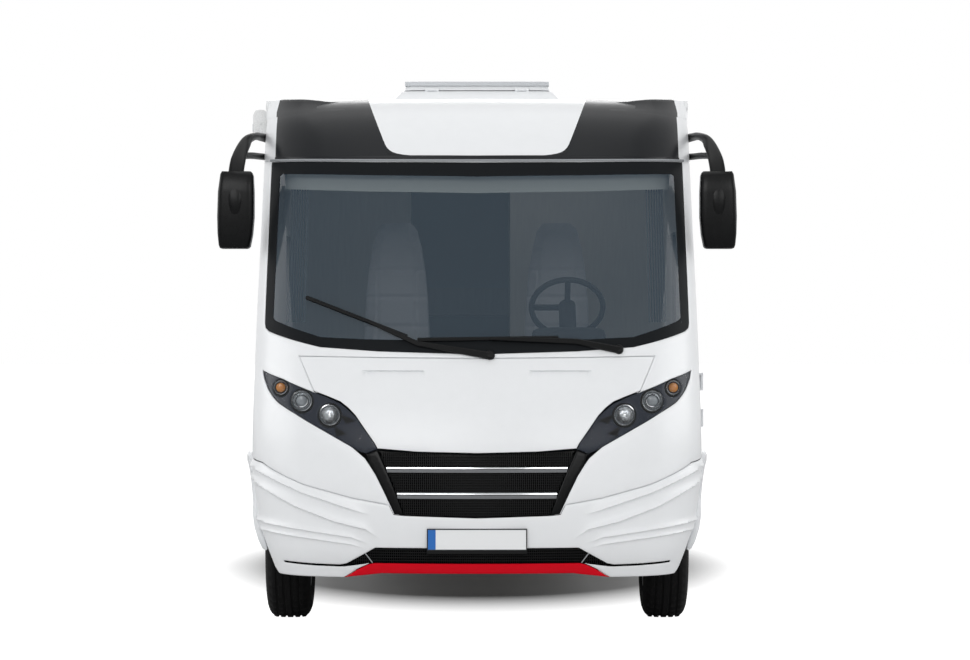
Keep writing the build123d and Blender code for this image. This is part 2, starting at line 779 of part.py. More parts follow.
with BuildPart() as tail_lamps:
    for x, z in TAIL_LAMPS:
        for side in (1, -1):
            with BuildSketch(Plane.XZ.offset(-y_at(REAR_FACE))):
                with Locations((side * x, z)):
                    RectangleRounded(TAIL_LAMP_W, TAIL_LAMP_H, TAIL_LAMP_W / 3)
            extrude(amount=-TAIL_LAMP_T)
finish(tail_lamps, "tail_lamps")

# Floors, with boxes over the rear wheels and a bulkhead ahead of the cab
with BuildPart() as floor:
    box((WALL - HALF_WIDTH, HALF_WIDTH - WALL), (JUNCTION, wall_back), (FLOOR_BOTTOM, FLOOR_TOP))
    with BuildSketch(Plane.YZ.offset(WHEEL_BOX_X - LINER)):
        arch_disc(REAR_AXLE, REAR_ARCH_R + LINER, FLOOR_BOTTOM)
    extrude(amount=HALF_WIDTH - WALL - WHEEL_BOX_X + LINER)
    with BuildSketch(Plane.YZ.offset(WHEEL_BOX_X)):
        with Locations((y_at(REAR_AXLE), TYRE_R)):
            Circle(REAR_ARCH_R)
    extrude(amount=HALF_WIDTH, mode=Mode.SUBTRACT)
    split(bisect_by=Plane.YZ)
    mirror(about=Plane.YZ)
finish(floor, "floor")

with BuildPart() as cab_floor:
    box((-CAB_FLOOR_X, CAB_FLOOR_X), (BULKHEAD_D, JUNCTION), (FLOOR_BOTTOM, FLOOR_TOP))
    step_x = HALF_WIDTH - SHELL - 2 * SEAM
    step_d = FRONT_AXLE + FRONT_ARCH_R + LINER + SEAM
    box((-step_x, step_x), (step_d, JUNCTION), (FLOOR_BOTTOM, FLOOR_TOP))
    box((-CAB_FLOOR_X, CAB_FLOOR_X), (BULKHEAD_D, BULKHEAD_D + BULKHEAD_T), (FLOOR_BOTTOM, BULKHEAD_TOP))
    box((-BULKHEAD_X, BULKHEAD_X), (BULKHEAD_D, BULKHEAD_D + BULKHEAD_T), (BULKHEAD_WING, BULKHEAD_TOP))
finish(cab_floor, "cab_floor")

with BuildPart() as front_wheel_housings:
    with BuildSketch(Plane.YZ.offset(CAB_FLOOR_X)):
        arch_disc(FRONT_AXLE, FRONT_ARCH_R + LINER, HOUSING_BOTTOM)
    extrude(amount=HOUSING_OUT - CAB_FLOOR_X)
    with BuildSketch(Plane.YZ.offset(CAB_FLOOR_X + LINER)):
        with Locations((y_at(FRONT_AXLE), TYRE_R)):
            Circle(FRONT_ARCH_R)
    extrude(amount=HALF_WIDTH, mode=Mode.SUBTRACT)
    mirror(about=Plane.YZ)
finish(front_wheel_housings, "front_wheel_housings")

# Skirts and arch flares
skirt_front = FRONT_AXLE + FRONT_ARCH_R + LINER + SEAM
with BuildPart() as skirts:
    for side in (1, -1):
        x = sorted((side * (HALF_WIDTH - SKIRT_T), side * HALF_WIDTH))
        box(x, (skirt_front, REAR_AXLE - REAR_ARCH_R), (SKIRT_BOTTOM, FLOOR_BOTTOM))
        box(x, (REAR_AXLE + REAR_ARCH_R, REAR_BUMPER_FRONT), (SKIRT_BOTTOM, FLOOR_BOTTOM))
finish(skirts, "skirts")


def flare(axle, radius, inner, low):
    with BuildPart() as ring:
        with BuildSketch(Plane.YZ.offset(inner)):
            arch_disc(axle, radius + FLARE_RING, low)
            with Locations((y_at(axle), TYRE_R)):
                Circle(radius, mode=Mode.SUBTRACT)
        extrude(amount=FLARE_X - inner)
        rims = edges().filter_by(GeomType.CIRCLE).group_by(Axis.X)[-1]
        fillet(rims.sort_by(SortBy.RADIUS)[-1], FLARE_EDGE_R)
        mirror(about=Plane.YZ)
    return ring.part


with BuildPart() as arch_flares:
    add(flare(FRONT_AXLE, FRONT_ARCH_R, HALF_WIDTH - 2 * SHELL, FLARE_LOW))
    add(mask_outer, mode=Mode.SUBTRACT)
    # The front flares run out into the bumper's corners
    flare_tip = FRONT_AXLE - FRONT_ARCH_R - 2 * FLARE_RING
    flare_out = FLARE_X + PAST
    with BuildSketch():
        with BuildLine():
            Polyline(
                (flare_out, y_at(flare_tip)), (FLARE_TIP_X, y_at(flare_tip)),
                (FLARE_X, y_at(FLARE_FULL)), (flare_out, y_at(FLARE_FULL)), close=True,
            )
        make_face()
        mirror(about=Plane.YZ)
    extrude(amount=ROOF_Z, mode=Mode.SUBTRACT)
    add(flare(REAR_AXLE, REAR_ARCH_R, HALF_WIDTH, FLARE_LOW))
finish(arch_flares, "arch_flares")

# Chassis: two channel rails with jack pads, cross members, subframe and axles
with BuildPart() as chassis_rails:
    with BuildSketch(Plane.XZ.offset(-y_at(RAIL_BACK))):
        with Locations((RAIL_X - RAIL_W / 2, RAIL_BOTTOM + RAIL_H / 2)):
            Rectangle(RAIL_W, RAIL_H)
        with Locations((RAIL_X - RAIL_T - RAIL_W / 2, RAIL_BOTTOM + RAIL_H / 2)):
            Rectangle(RAIL_W, RAIL_H - 2 * RAIL_T, mode=Mode.SUBTRACT)
    extrude(amount=RAIL_BACK - RAIL_FRONT)
    rail_mid = RAIL_X - RAIL_W / 2
    for d in JACK_PADS_D:
        with Locations((rail_mid, y_at(d), RAIL_BOTTOM - JACK_PAD[2] / 2)):
            Box(JACK_PAD[1], JACK_PAD[0], JACK_PAD[2])
    for d in TOW_BOLTS_D:
        with Locations((rail_mid, y_at(d), RAIL_BOTTOM)):
            Cylinder(TOW_BOLT_R, 4 * RAIL_T, mode=Mode.SUBTRACT)
    mirror(about=Plane.YZ)
finish(chassis_rails, "chassis_rails")

web_x = RAIL_X - RAIL_T
with BuildPart() as brackets:
    for side in (1, -1):
        box(sorted((side * BRACKET_X, side * (BRACKET_X + CROSS_W))), (0, RAIL_FRONT - CROSS_W), BRACKET_Z)
    add(bumper_inner, mode=Mode.INTERSECT)

with BuildPart() as cross_members:
    for d in CROSS_MEMBERS_D:
        box((-web_x, web_x), (d, d + CROSS_W), (CROSS_Z, CROSS_Z + CROSS_H))
    box((-RAIL_X, RAIL_X), (RAIL_FRONT - CROSS_W, RAIL_FRONT), (CROSS_Z, CROSS_Z + BEAM_H))
    add(brackets.part)
finish(cross_members, "cross_members")

with BuildPart() as front_subframe:
    box((-RAIL_X, RAIL_X), SUBFRAME_D, (SUBFRAME_Z, SUBFRAME_Z + SUBFRAME_H))
    for side in (1, -1):
        leg = sorted((side * (RAIL_X - RAIL_W), side * RAIL_X))
        box(leg, SUBFRAME_D, (SUBFRAME_Z, RAIL_BOTTOM))
        arm = sorted((side * RAIL_X, side * (KINGPIN_X + PIN_R)))
        box(arm, (FRONT_AXLE - ARM_W / 2, FRONT_AXLE + ARM_W / 2), (SUBFRAME_Z, SUBFRAME_Z + ARM_H))
        with Locations((side * KINGPIN_X, y_at(FRONT_AXLE), SUBFRAME_Z)):
            Cylinder(PIN_R, ARM_H + PIN_RISE, align=UPRIGHT)
finish(front_subframe, "front_subframe")


def knuckle(side):
    low = SUBFRAME_Z + ARM_H + KNUCKLE_GAP
    damper_top = TYRE_R + FRONT_ARCH_R - 2 * SEAM
    with BuildPart() as piece:
        with Locations((side * KINGPIN_X, y_at(FRONT_AXLE), low)):
            Cylinder(KINGPIN_R, DAMPER_Z - low, align=UPRIGHT)
            Cylinder(DAMPER_R, damper_top - low, align=UPRIGHT)
        with Locations(Plane((side * KINGPIN_X, y_at(FRONT_AXLE), TYRE_R), z_dir=(side, 0, 0))):
            Cylinder(SPINDLE_R, HUB_X - KINGPIN_X, align=UPRIGHT)
        with Locations(Plane((side * HUB_X, y_at(FRONT_AXLE), TYRE_R), z_dir=(-side, 0, 0))):
            Cylinder(HUB_R, HUB_T, align=UPRIGHT)
        with Locations((side * KINGPIN_X, y_at(FRONT_AXLE), 0)):
            Cylinder(PIN_R + PIN_CLEAR, low + PIN_RISE, align=UPRIGHT, mode=Mode.SUBTRACT)
    return piece


finish(knuckle(1), "knuckle_left")
finish(knuckle(-1), "knuckle_right")

with BuildPart() as rear_axle:
    tube_z = RAIL_BOTTOM - TUBE_R
    with Locations(Plane((0, y_at(REAR_AXLE - TRAIL), tube_z), z_dir=(1, 0, 0))):
        Cylinder(TUBE_R, TRAIL_ARM_X, align=UPRIGHT)
    with BuildSketch(Plane.YZ.offset(TRAIL_ARM_X)):
        with BuildLine():
            Polyline(
                (y_at(REAR_AXLE - TRAIL), tube_z - TUBE_R), (y_at(REAR_AXLE), TYRE_R - TUBE_R),
                (y_at(REAR_AXLE), TYRE_R + TUBE_R), (y_at(REAR_AXLE - TRAIL), tube_z + TUBE_R), close=True,
            )
        make_face()
        for d, z in ((REAR_AXLE - TRAIL, tube_z), (REAR_AXLE, TYRE_R)):
            with Locations((y_at(d), z)):
                Circle(TUBE_R)
    extrude(amount=TRAIL_ARM_W)
    with Locations(Plane((TRAIL_ARM_X, y_at(REAR_AXLE), TYRE_R), z_dir=(1, 0, 0))):
        Cylinder(SPINDLE_R, HUB_X - TRAIL_ARM_X, align=UPRIGHT)
    with Locations(Plane((HUB_X, y_at(REAR_AXLE), TYRE_R), z_dir=(-1, 0, 0))):
        Cylinder(HUB_R, HUB_T, align=UPRIGHT)
    mirror(about=Plane.YZ)
finish(rear_axle, "rear_axle")

# Wheels: tyre with bulged sidewalls, rim with a dished disc and round windows
half_w, half_bead, half_tread = TYRE_W / 2, BEAD_W / 2, TREAD_W / 2
for axle_name, axle in (("front", FRONT_AXLE), ("rear", REAR_AXLE)):
    for side_name, side in (("left", 1), ("right", -1)):
        hub_axis = Axis((side * TRACK_X, y_at(axle), TYRE_R), (1, 0, 0))
        face = Plane((side * TRACK_X, y_at(axle), TYRE_R), x_dir=(side, 0, 0), z_dir=(0, -side, 0))
        with BuildPart() as tyre:
            with BuildSketch(face):
                with BuildLine():
                    for end in (1, -1):
                        bead, shoulder = (end * half_bead, BEAD_TOP), (end * half_tread, SHOULDER_R)
                        Line((end * half_bead, BEAD_R), bead)
                        ThreePointArc(bead, (end * half_w, BULGE_R), shoulder)
                        Line(shoulder, (end * (half_tread - SHOULDER), TYRE_R))
                    Line((half_tread - SHOULDER, TYRE_R), (SHOULDER - half_tread, TYRE_R))
                    Line((half_bead, BEAD_R), (-half_bead, BEAD_R))
                make_face()
            revolve(axis=hub_axis)
        finish(tyre, f"tyre_{axle_name}_{side_name}")
        seat_r = BEAD_R - SLIP
        disc = HUB_X - TRACK_X + SLIP
        with BuildPart() as rim:
            with BuildSketch(face):
                with Locations((0, seat_r - RIM_WALL / 2)):
                    Rectangle(BEAD_W + 2 * SLIP, RIM_WALL)
                for end in (1, -1):
                    with Locations((end * (half_bead + SLIP + FLANGE / 2), seat_r + FLANGE / 2)):
                        Rectangle(FLANGE, RIM_WALL + 2 * FLANGE)
                with Locations((disc + DISC_T / 2, seat_r / 2)):
                    Rectangle(DISC_T, seat_r)
            revolve(axis=hub_axis)
            with BuildSketch(Plane(face.origin + Vector(side * disc, 0, 0), z_dir=(side, 0, 0))):
                with PolarLocations(WINDOW_RING, WINDOW_COUNT):
                    Circle(WINDOW_R)
            extrude(amount=DISC_T, mode=Mode.SUBTRACT)
        finish(rim, f"rim_{axle_name}_{side_name}")

# Engine, radiator, exhaust and tanks
with BuildPart() as engine:
    box((-ENGINE_X, ENGINE_X), ENGINE_D, ENGINE_Z)
    fillet(edges().filter_by(Axis.Y), ENGINE_R)
    lug = RAIL_X - RAIL_W
    box((-lug, lug), (ENGINE_D[0] + CROSS_W, ENGINE_D[1] - CROSS_W), (RAIL_BOTTOM, RAIL_BOTTOM + CROSS_H))
finish(engine, "engine")

with BuildPart() as radiator:
    beam_top = CROSS_Z + BEAM_H
    box((-RADIATOR_X, RADIATOR_X), (RAIL_FRONT - CROSS_W, RAIL_FRONT), (beam_top, beam_top + RADIATOR_H))
finish(radiator, "radiator")

with BuildPart() as exhaust:
    with Locations(Plane((EXHAUST_X, y_at(ENGINE_D[1]), EXHAUST_Z), z_dir=(0, 1, 0))):
        Cylinder(EXHAUST_R, EXHAUST_END - ENGINE_D[1], align=UPRIGHT)
    with Locations(Plane((EXHAUST_X, y_at(EXHAUST_END), EXHAUST_Z), z_dir=(0, -1, 0))):
        Cylinder(MUFFLER_R, MUFFLER_L, align=UPRIGHT)
finish(exhaust, "exhaust")

with BuildPart() as tanks:
    for x, d, z in TANKS:
        box(x, d, (z, FLOOR_BOTTOM))
    fillet(edges().filter_by(Axis.Z), TANK_R)
finish(tanks, "tanks")

# Roof hatch and awning
with BuildPart() as hatch_frame:
    mid_d, span_d = sum(HATCH_D) / 2, HATCH_D[1] - HATCH_D[0]
    for z, half in ((ROOF_Z, HATCH_BASE), (HATCH_FRAME_Z, HATCH_TOP)):
        with BuildSketch(Plane.XY.offset(z)):
            with Locations((0, y_at(mid_d))):
                RectangleRounded(2 * half, span_d - 2 * (HATCH_BASE - half), HATCH_CORNER_R)
    loft()
    with Locations((0, y_at(mid_d), ROOF_Z)):
        Box(2 * HATCH_HOLE, span_d - 2 * HATCH_RIM, LENGTH, mode=Mode.SUBTRACT)
    add(small_pins(HATCH_HINGE, (-43, 0), (-8, 11)))
finish(hatch_frame, "hatch_frame")

with BuildPart() as hatch_lid:
    lid_z = HATCH_FRAME_Z + HATCH_GAP
    for z, half in ((lid_z, HATCH_TOP), (HATCH_TOP_Z, HATCH_LID_TOP)):
        with BuildSketch(Plane.XY.offset(z)):
            with Locations((0, y_at(mid_d))):
                RectangleRounded(2 * half, span_d - 2 * (HATCH_BASE - half), HATCH_CORNER_R)
    loft()
    add(small_barrels(HATCH_HINGE, (2, 8), (0, 30)))
finish(hatch_lid, "hatch_lid")

with BuildPart() as awning:
    with BuildSketch(Plane.XZ.offset(-y_at(AWNING_D[1]))):
        with Locations((-HALF_WIDTH - AWNING_T / 2, sum(AWNING_Z) / 2)):
            RectangleRounded(AWNING_T, AWNING_Z[1] - AWNING_Z[0], AWNING_R)
        with Locations((-HALF_WIDTH - AWNING_T / 4, AWNING_Z[0] + AWNING_R)):
            Rectangle(AWNING_T / 2, 2 * AWNING_R)
    extrude(amount=AWNING_D[1] - AWNING_D[0])
finish(awning, "awning")

# Mirrors on hanging arms, and wipers
with BuildPart() as mirrors:
    with BuildSketch(Plane.XZ.offset(-y_at(MIRROR_D + MIRROR_T / 2))):
        with Locations((MIRROR_X, sum(MIRROR_Z) / 2)):
            RectangleRounded(MIRROR_W, MIRROR_Z[1] - MIRROR_Z[0], MIRROR_R)
    extrude(amount=MIRROR_T)
    fillet(edges().group_by(Axis.Y)[0], MIRROR_T / 3)
    with Locations((MIRROR_X, y_at(MIRROR_D), (MIRROR_Z[1] + ARM_Z) / 2)):
        Cylinder(ARM_R, ARM_Z - MIRROR_Z[1])
    reach = Vector(ARM_ROOT[0] - MIRROR_X, ARM_ROOT[1] - MIRROR_D, 0)
    with Locations(Plane((MIRROR_X, y_at(MIRROR_D), ARM_Z), z_dir=reach)):
        Cylinder(ARM_R, reach.length, align=UPRIGHT)
    with Locations(Plane((MIRROR_X, y_at(MIRROR_D), STRUT_Z), z_dir=reach)):
        Cylinder(STRUT_R, reach.length, align=UPRIGHT)
    with Locations((MIRROR_X, y_at(MIRROR_D), ARM_Z)):
        Sphere(ARM_R)
    add(cap_outer, mode=Mode.SUBTRACT)
    mirror(about=Plane.YZ)
finish(mirrors, "mirrors")


def setback_at(z):
    """Setback of the nose line at a height between two mask sections."""
    for (z0, *_, d0), (z1, *_, d1) in zip(MASK_SECTIONS, MASK_SECTIONS[1:]):
        if z0 <= z <= z1:
            return d0 + (d1 - d0) * (z - z0) / (z1 - z0)


def on_bow(x, z, off):
    """A point off the front surface by off, for x within the wide arc."""
    bow = BOW_R - (BOW_R ** 2 - x ** 2) ** 0.5
    return (x, y_at(setback_at(z) + bow - off), z)


with BuildPart() as wipers:
    for start, end, elbow, pivot in WIPERS:
        for a, b, radius in ((start, end, BLADE_R), (elbow, pivot, WIPER_ARM_R)):
            p, q = Vector(on_bow(*a, WIPER_OFF)), Vector(on_bow(*b, WIPER_OFF))
            with Locations(Plane(p, z_dir=q - p)):
                Cylinder(radius, (q - p).length, align=UPRIGHT)
        p = on_bow(*pivot, WIPER_OFF + PIVOT_R)
        with Locations(Plane(p, z_dir=(0, 1, 0))):
            Cylinder(PIVOT_R, 3 * WIPER_OFF, align=UPRIGHT)
    add(mask_outer, mode=Mode.SUBTRACT)
finish(wipers, "wipers")

# Inside the cab: dashboard, steering wheel, seats, and cupboards behind
tilt = Vector(0, cos(radians(WHEEL_TILT)), sin(radians(WHEEL_TILT)))
wheel_plane = Plane((WHEEL_X, y_at(WHEEL_D), WHEEL_Z), z_dir=tilt)
with BuildPart() as dashboard:
    dash_plan = cab_section(DASH_Z[0], *MASK_SECTIONS[4][1:], DASH_INSET, DASH_BACK)
    extrude(dash_plan, amount=DASH_Z[1] - DASH_Z[0])
    with Locations(wheel_plane):
        Cylinder(COLUMN_R, COLUMN_L, align=(Align.CENTER, Align.CENTER, Align.MAX))
finish(dashboard, "dashboard")

with BuildPart() as steering_wheel:
    with Locations(wheel_plane.offset(WHEEL_TUBE)):
        Cylinder(COLUMN_R, 2 * WHEEL_TUBE)
        Torus(WHEEL_R, WHEEL_TUBE)
        for angle in (0, 90, 180):
            with Locations(Rotation(0, 0, -angle)):
                Box(WHEEL_R, 2 * WHEEL_TUBE, WHEEL_TUBE, align=(Align.MIN, Align.CENTER, Align.CENTER))
finish(steering_wheel, "steering_wheel")

with BuildPart() as cab_seats:
    for side in (1, -1):
        x = side * SEAT_X
        foot = SEAT_W / 4
        box((x - foot, x + foot), (SEAT_D + foot, SEAT_D + 3 * foot), (FLOOR_TOP, SEAT_Z))
        box((x - SEAT_W / 2, x + SEAT_W / 2), (SEAT_D, SEAT_D + SEAT_L), (SEAT_Z, SEAT_Z + SEAT_T))
        with BuildSketch(Plane.XZ.offset(-y_at(SEAT_D + SEAT_L))):
            with BuildLine():
                Polyline(
                    (x - SEAT_W / 2, SEAT_Z), (x - SEAT_W / 2, BACK_SHOULDER), (x - BACK_TOP_W / 2, BACK_TOP),
                    (x + BACK_TOP_W / 2, BACK_TOP), (x + SEAT_W / 2, BACK_SHOULDER), (x + SEAT_W / 2, SEAT_Z),
                    close=True,
                )
            make_face()
        extrude(amount=SEAT_T)
finish(cab_seats, "cab_seats")

with BuildPart() as furniture:
    for x, d, z in FURNITURE:
        box(x, d, z)
finish(furniture, "furniture")
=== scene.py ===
import math
import bpy
import numpy as np
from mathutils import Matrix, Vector
from mathutils.geometry import delaunay_2d_cdt


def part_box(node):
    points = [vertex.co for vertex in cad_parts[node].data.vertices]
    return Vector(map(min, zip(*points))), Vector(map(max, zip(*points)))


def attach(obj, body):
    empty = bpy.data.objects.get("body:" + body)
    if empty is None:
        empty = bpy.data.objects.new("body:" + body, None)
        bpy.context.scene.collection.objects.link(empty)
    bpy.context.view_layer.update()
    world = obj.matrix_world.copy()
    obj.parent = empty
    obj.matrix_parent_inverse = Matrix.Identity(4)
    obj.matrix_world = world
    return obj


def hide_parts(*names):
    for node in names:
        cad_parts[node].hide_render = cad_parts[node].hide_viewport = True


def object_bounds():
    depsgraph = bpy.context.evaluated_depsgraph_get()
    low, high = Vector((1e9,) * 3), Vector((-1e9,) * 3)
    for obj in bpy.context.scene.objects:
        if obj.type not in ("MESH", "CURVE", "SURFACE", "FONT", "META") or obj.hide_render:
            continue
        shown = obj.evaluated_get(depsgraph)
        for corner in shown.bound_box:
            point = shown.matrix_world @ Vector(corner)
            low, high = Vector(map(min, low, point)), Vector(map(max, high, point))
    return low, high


bl_info = {
    "name": "Motorhome dressing",
    "version": (1, 0, 0),
    "blender": (4, 5, 0),
    "location": "3D View > Sidebar > Motorhome",
    "description": "Dresses the packed motorhome with smooth panels, glass, lamps, wheels and cab",
    "category": "Object",
}

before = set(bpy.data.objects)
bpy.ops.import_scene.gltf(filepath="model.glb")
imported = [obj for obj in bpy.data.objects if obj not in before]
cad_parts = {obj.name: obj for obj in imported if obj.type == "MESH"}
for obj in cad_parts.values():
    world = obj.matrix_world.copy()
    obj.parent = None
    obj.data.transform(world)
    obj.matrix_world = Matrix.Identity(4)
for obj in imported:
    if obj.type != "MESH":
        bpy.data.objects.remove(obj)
CAD_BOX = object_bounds()

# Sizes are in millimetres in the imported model's frame, and become metres when a mesh is made.
# The nose is at the lowest Y, and d is the distance behind it.
NOSE_Y = CAD_BOX[0][1] * 1000
BOW_R = 2530
BOW_ANGLE = math.radians(18.5)
BOW_X = BOW_R * math.sin(BOW_ANGLE)
BOW_D = BOW_R * (1 - math.cos(BOW_ANGLE))
CORNER_SHARE = 1 - math.sin(BOW_ANGLE)
CORNER_U = 600
HALF_WIDTH = 1165
JUNCTION = 1800
# Height, half width at the corner, setback of the nose
SECTIONS = (
    (276, 1024, 60), (430, 1085, 8), (560, 1130, 0), (920, 1165, 30), (1400, 1160, 200), (2420, 1139, 628),
)
CAP_SECTIONS = ((2420, 1139, 628), (2580, 1138, 745), (2690, 1134, 900), (2735, 1124, 1050), (2760, 1090, 1230))
WHEELS = (("front_left", 1, 1000), ("front_right", -1, 1000), ("rear_left", 1, 4800), ("rear_right", -1, 4800))
TRACK_X = 985
AXLE_Z = 370
ARCH_RADIUS = 475
TAIL_LAMP_X = 1040
LAMP_AMBER = "#d8741a"
LAMP_RED = "#8f0c14"

# Outlines seen from the front for x >= 0, from the top down, as x and height
SCREEN = ((0, 2387), (540, 2392), (1090, 2408), (1103, 1557), (1098, 1530), (1078, 1513), (800, 1433), (503, 1412), (0, 1397))
SCREEN_CLEAR = (
    (0, 2312), (560, 2322), (1024, 2338), (1036, 2328), (1052, 1582), (1042, 1570), (797, 1485), (557, 1473), (0, 1464),
)
BONNET = (
    (0, 1374), (500, 1378), (905, 1384), (826, 1212), (750, 1184), (690, 1160), (650, 1130), (612, 1092),
    (570, 1032), (511, 950), (499, 927), (300, 912), (0, 905),
)
LAMP_LEAF = (
    (1110, 1313), (996, 1271), (824, 1203), (750, 1175), (690, 1148), (645, 1112), (603, 1074), (560, 1012), (513, 948),
    (503, 922), (558, 900), (590, 910), (630, 931), (813, 1031), (930, 1097), (1017, 1148), (1050, 1180),
    (1075, 1214), (1100, 1269),
)
LAMP_STRIP = (
    (501, 919), (443, 790), (407, 702), (368, 595), (415, 600), (467, 710), (507, 790), (540, 842), (556, 897),
)
LAMP_HOLE = (
    (1110, 1313), (996, 1271), (824, 1203), (750, 1175), (690, 1148), (645, 1112), (603, 1074), (560, 1012), (513, 948),
    (499, 910), (443, 790), (407, 702), (368, 595), (415, 600), (467, 710), (507, 790), (540, 842), (564, 876),
    (630, 931), (813, 1031), (930, 1097), (1017, 1148), (1050, 1180), (1075, 1214), (1100, 1269),
)
MIDDLE_HOLE = (
    (0, 1377), (500, 1381), (910, 1387), (829, 1207), (690, 1130), (603, 1060), (530, 940), (450, 800), (385, 580), (0, 560),
)
GRILLE = ((0, 896), (499, 912), (443, 790), (407, 702), (368, 595), (0, 584))
GAP = ((0, 580), (368, 591), (418, 596), (441, 642), (627, 674), (874, 738), (1098, 841))
INTAKE = (
    (0, 431), (510, 431), (655, 349), (690, 342), (800, 344), (983, 352), (981, 342), (800, 333), (690, 331), (665, 332),
    (525, 352), (0, 352),
)
LIP = ((0, 352), (515, 352), (545, 345), (600, 318), (640, 292), (668, 277), (560, 290), (480, 300), (0, 300))
# Lamps: name, x, height, radius
LAMPS = (("main", 746, 1089, 56), ("dipped", 893, 1159, 56), ("indicator", 1007, 1225, 40))
# Bright bars: height of the middle, half length, thickness
BARS = ((822, 452, 30), (693, 399, 32))


def srgb(code):
    """Linear colour of an sRGB hex value."""
    parts = [int(code[i:i + 2], 16) / 255 for i in (1, 3, 5)]
    return tuple(c / 12.92 if c <= 0.04045 else ((c + 0.055) / 1.055) ** 2.4 for c in parts)


class MotorhomeLook(bpy.types.PropertyGroup):
    """Colours and sizes of the motorhome's dressing."""

    body_white: bpy.props.FloatVectorProperty(
        name="Body white", description="Gelcoat of nose and cap", subtype="COLOR", default=srgb("#e6e8ea"))
    wall_white: bpy.props.FloatVectorProperty(
        name="Wall white", description="Coated sheet of walls and roof", subtype="COLOR", default=srgb("#e0e2e3"))
    anthracite: bpy.props.FloatVectorProperty(
        name="Anthracite", description="Dark panels of the roof cap", subtype="COLOR", default=srgb("#17191c"))
    lip_red: bpy.props.FloatVectorProperty(
        name="Lip red", description="Red front lip", subtype="COLOR", default=srgb("#d2061d"))
    glass_tint_and_painted_reflection: bpy.props.FloatVectorProperty(
        # Partly the glass's own tint, partly a painted reflection of the grey studio
        name="Glass tint", description="Veil of the windscreen", subtype="COLOR", default=srgb("#44525e"))
    tread: bpy.props.FloatProperty(
        name="Tread depth", description="Depth of the tyre grooves", default=0.008, unit="LENGTH")


def look():
    return bpy.context.scene.motorhome


def section_at(z, rows=SECTIONS):
    """Half width and setback at a height, as a smooth curve through the sections."""
    zs = [row[0] for row in rows]
    z = min(max(z, zs[0]), zs[-1])
    i = min(max(sum(z >= level for level in zs) - 1, 0), len(zs) - 2)
    step = zs[i + 1] - zs[i]
    t = (z - zs[i]) / step
    out = []
    for col in (1, 2):
        v = [row[col] for row in rows]
        rise = [(b - a) / (zb - za) for a, b, za, zb in zip(v, v[1:], zs, zs[1:])]
        slope = [rise[0]]
        for a, b in zip(rise, rise[1:]):
            slope.append(0 if a * b <= 0 else 2 * a * b / (a + b))
        slope.append(rise[-1])
        h00, h10 = 2 * t ** 3 - 3 * t ** 2 + 1, t ** 3 - 2 * t ** 2 + t
        h01, h11 = 3 * t ** 2 - 2 * t ** 3, t ** 3 - t ** 2
        out.append(h00 * v[i] + h10 * step * slope[i] + h01 * v[i + 1] + h11 * step * slope[i + 1])
    return out


def plan_point(u, half, setback, lift=0.0):
    """Point of a cab section: u runs along its plan curve from the middle, lift stands out from it."""
    v = abs(u)
    r = (half - BOW_X) / CORNER_SHARE
    if v <= BOW_X:
        a = math.asin(v / BOW_R)
        x, d = v, BOW_R * (1 - math.cos(a))
    elif v <= BOW_X + CORNER_U:
        a = BOW_ANGLE + (v - BOW_X) / CORNER_U * (math.pi / 2 - BOW_ANGLE)
        x = BOW_X + r * (math.sin(a) - math.sin(BOW_ANGLE))
        d = BOW_D + r * (math.cos(BOW_ANGLE) - math.cos(a))
    else:
        a = math.pi / 2
        corner = BOW_D + r * math.cos(BOW_ANGLE)
        d = corner + v - BOW_X - CORNER_U
        x = half + (HALF_WIDTH - half) * (v - BOW_X - CORNER_U) / (JUNCTION - setback - corner)
    x = x + lift * math.sin(a)
    return math.copysign(x, u), NOSE_Y + setback + d - lift * math.cos(a)


def nose(u, z, lift=0.0):
    """Point on the nose."""
    return (*plan_point(u, *section_at(z), lift), z)


def cap(u, z, lift=0.0):
    """Point on the roof cap."""
    return (*plan_point(u, *section_at(z, CAP_SECTIONS), lift), z)


def from_front(points):
    """Outline given as x and height turned to u and height."""
    out = []
    for x, z in points:
        half = section_at(z)[0]
        r = (half - BOW_X) / CORNER_SHARE
        v = abs(x)
        if v > BOW_X:
            a = math.asin(min((v - BOW_X) / r + math.sin(BOW_ANGLE), 1))
            v = BOW_X + CORNER_U * (a - BOW_ANGLE) / (math.pi / 2 - BOW_ANGLE)
        out.append((math.copysign(v, x), z))
    return out


def from_side(points):
    """Outline given as d and height on the cab's side turned to u and height."""
    out = []
    for d, z in points:
        half, setback = section_at(z)
        r = (half - BOW_X) / CORNER_SHARE
        out.append((BOW_X + CORNER_U + d - setback - BOW_D - r * math.cos(BOW_ANGLE), z))
    return out


def both(points):
    """Closes a half outline over the middle."""
    return [*points, *((-x, z) for x, z in reversed(points) if x > 0)]


def resample(loop, step):
    """Closed outline with points at most a step apart."""
    out = []
    for (x0, z0), (x1, z1) in zip(loop, [*loop[1:], loop[0]]):
        n = max(1, math.ceil(math.hypot(x1 - x0, z1 - z0) / step))
        out += [(x0 + (x1 - x0) * i / n, z0 + (z1 - z0) * i / n) for i in range(n)]
    return out


def along(line, step):
    """Points on an open polyline at most a step apart."""
    out = []
    for (x0, z0), (x1, z1) in zip(line, line[1:]):
        n = max(1, math.ceil(math.hypot(x1 - x0, z1 - z0) / step))
        out += [(x0 + (x1 - x0) * i / n, z0 + (z1 - z0) * i / n) for i in range(n)]
    return [*out, line[-1]]


def sided(loop, side):
    """A panel's outline, mirrored to the other half for side -1."""
    return loop if side > 0 else [(-u, z) for u, z in reversed(loop)]


def inside(points, loop):
    """Which points lie inside an outline."""
    p, q = np.array(points), np.array(loop)
    q2 = np.roll(q, -1, axis=0)
    hit = np.zeros(len(p), bool)
    for (x0, z0), (x1, z1) in zip(q, q2):
        cross = (z0 > p[:, 1]) != (z1 > p[:, 1])
        with np.errstate(divide="ignore", invalid="ignore"):
            hit ^= cross & (p[:, 0] < (x1 - x0) * (p[:, 1] - z0) / (z1 - z0) + x0)
    return hit


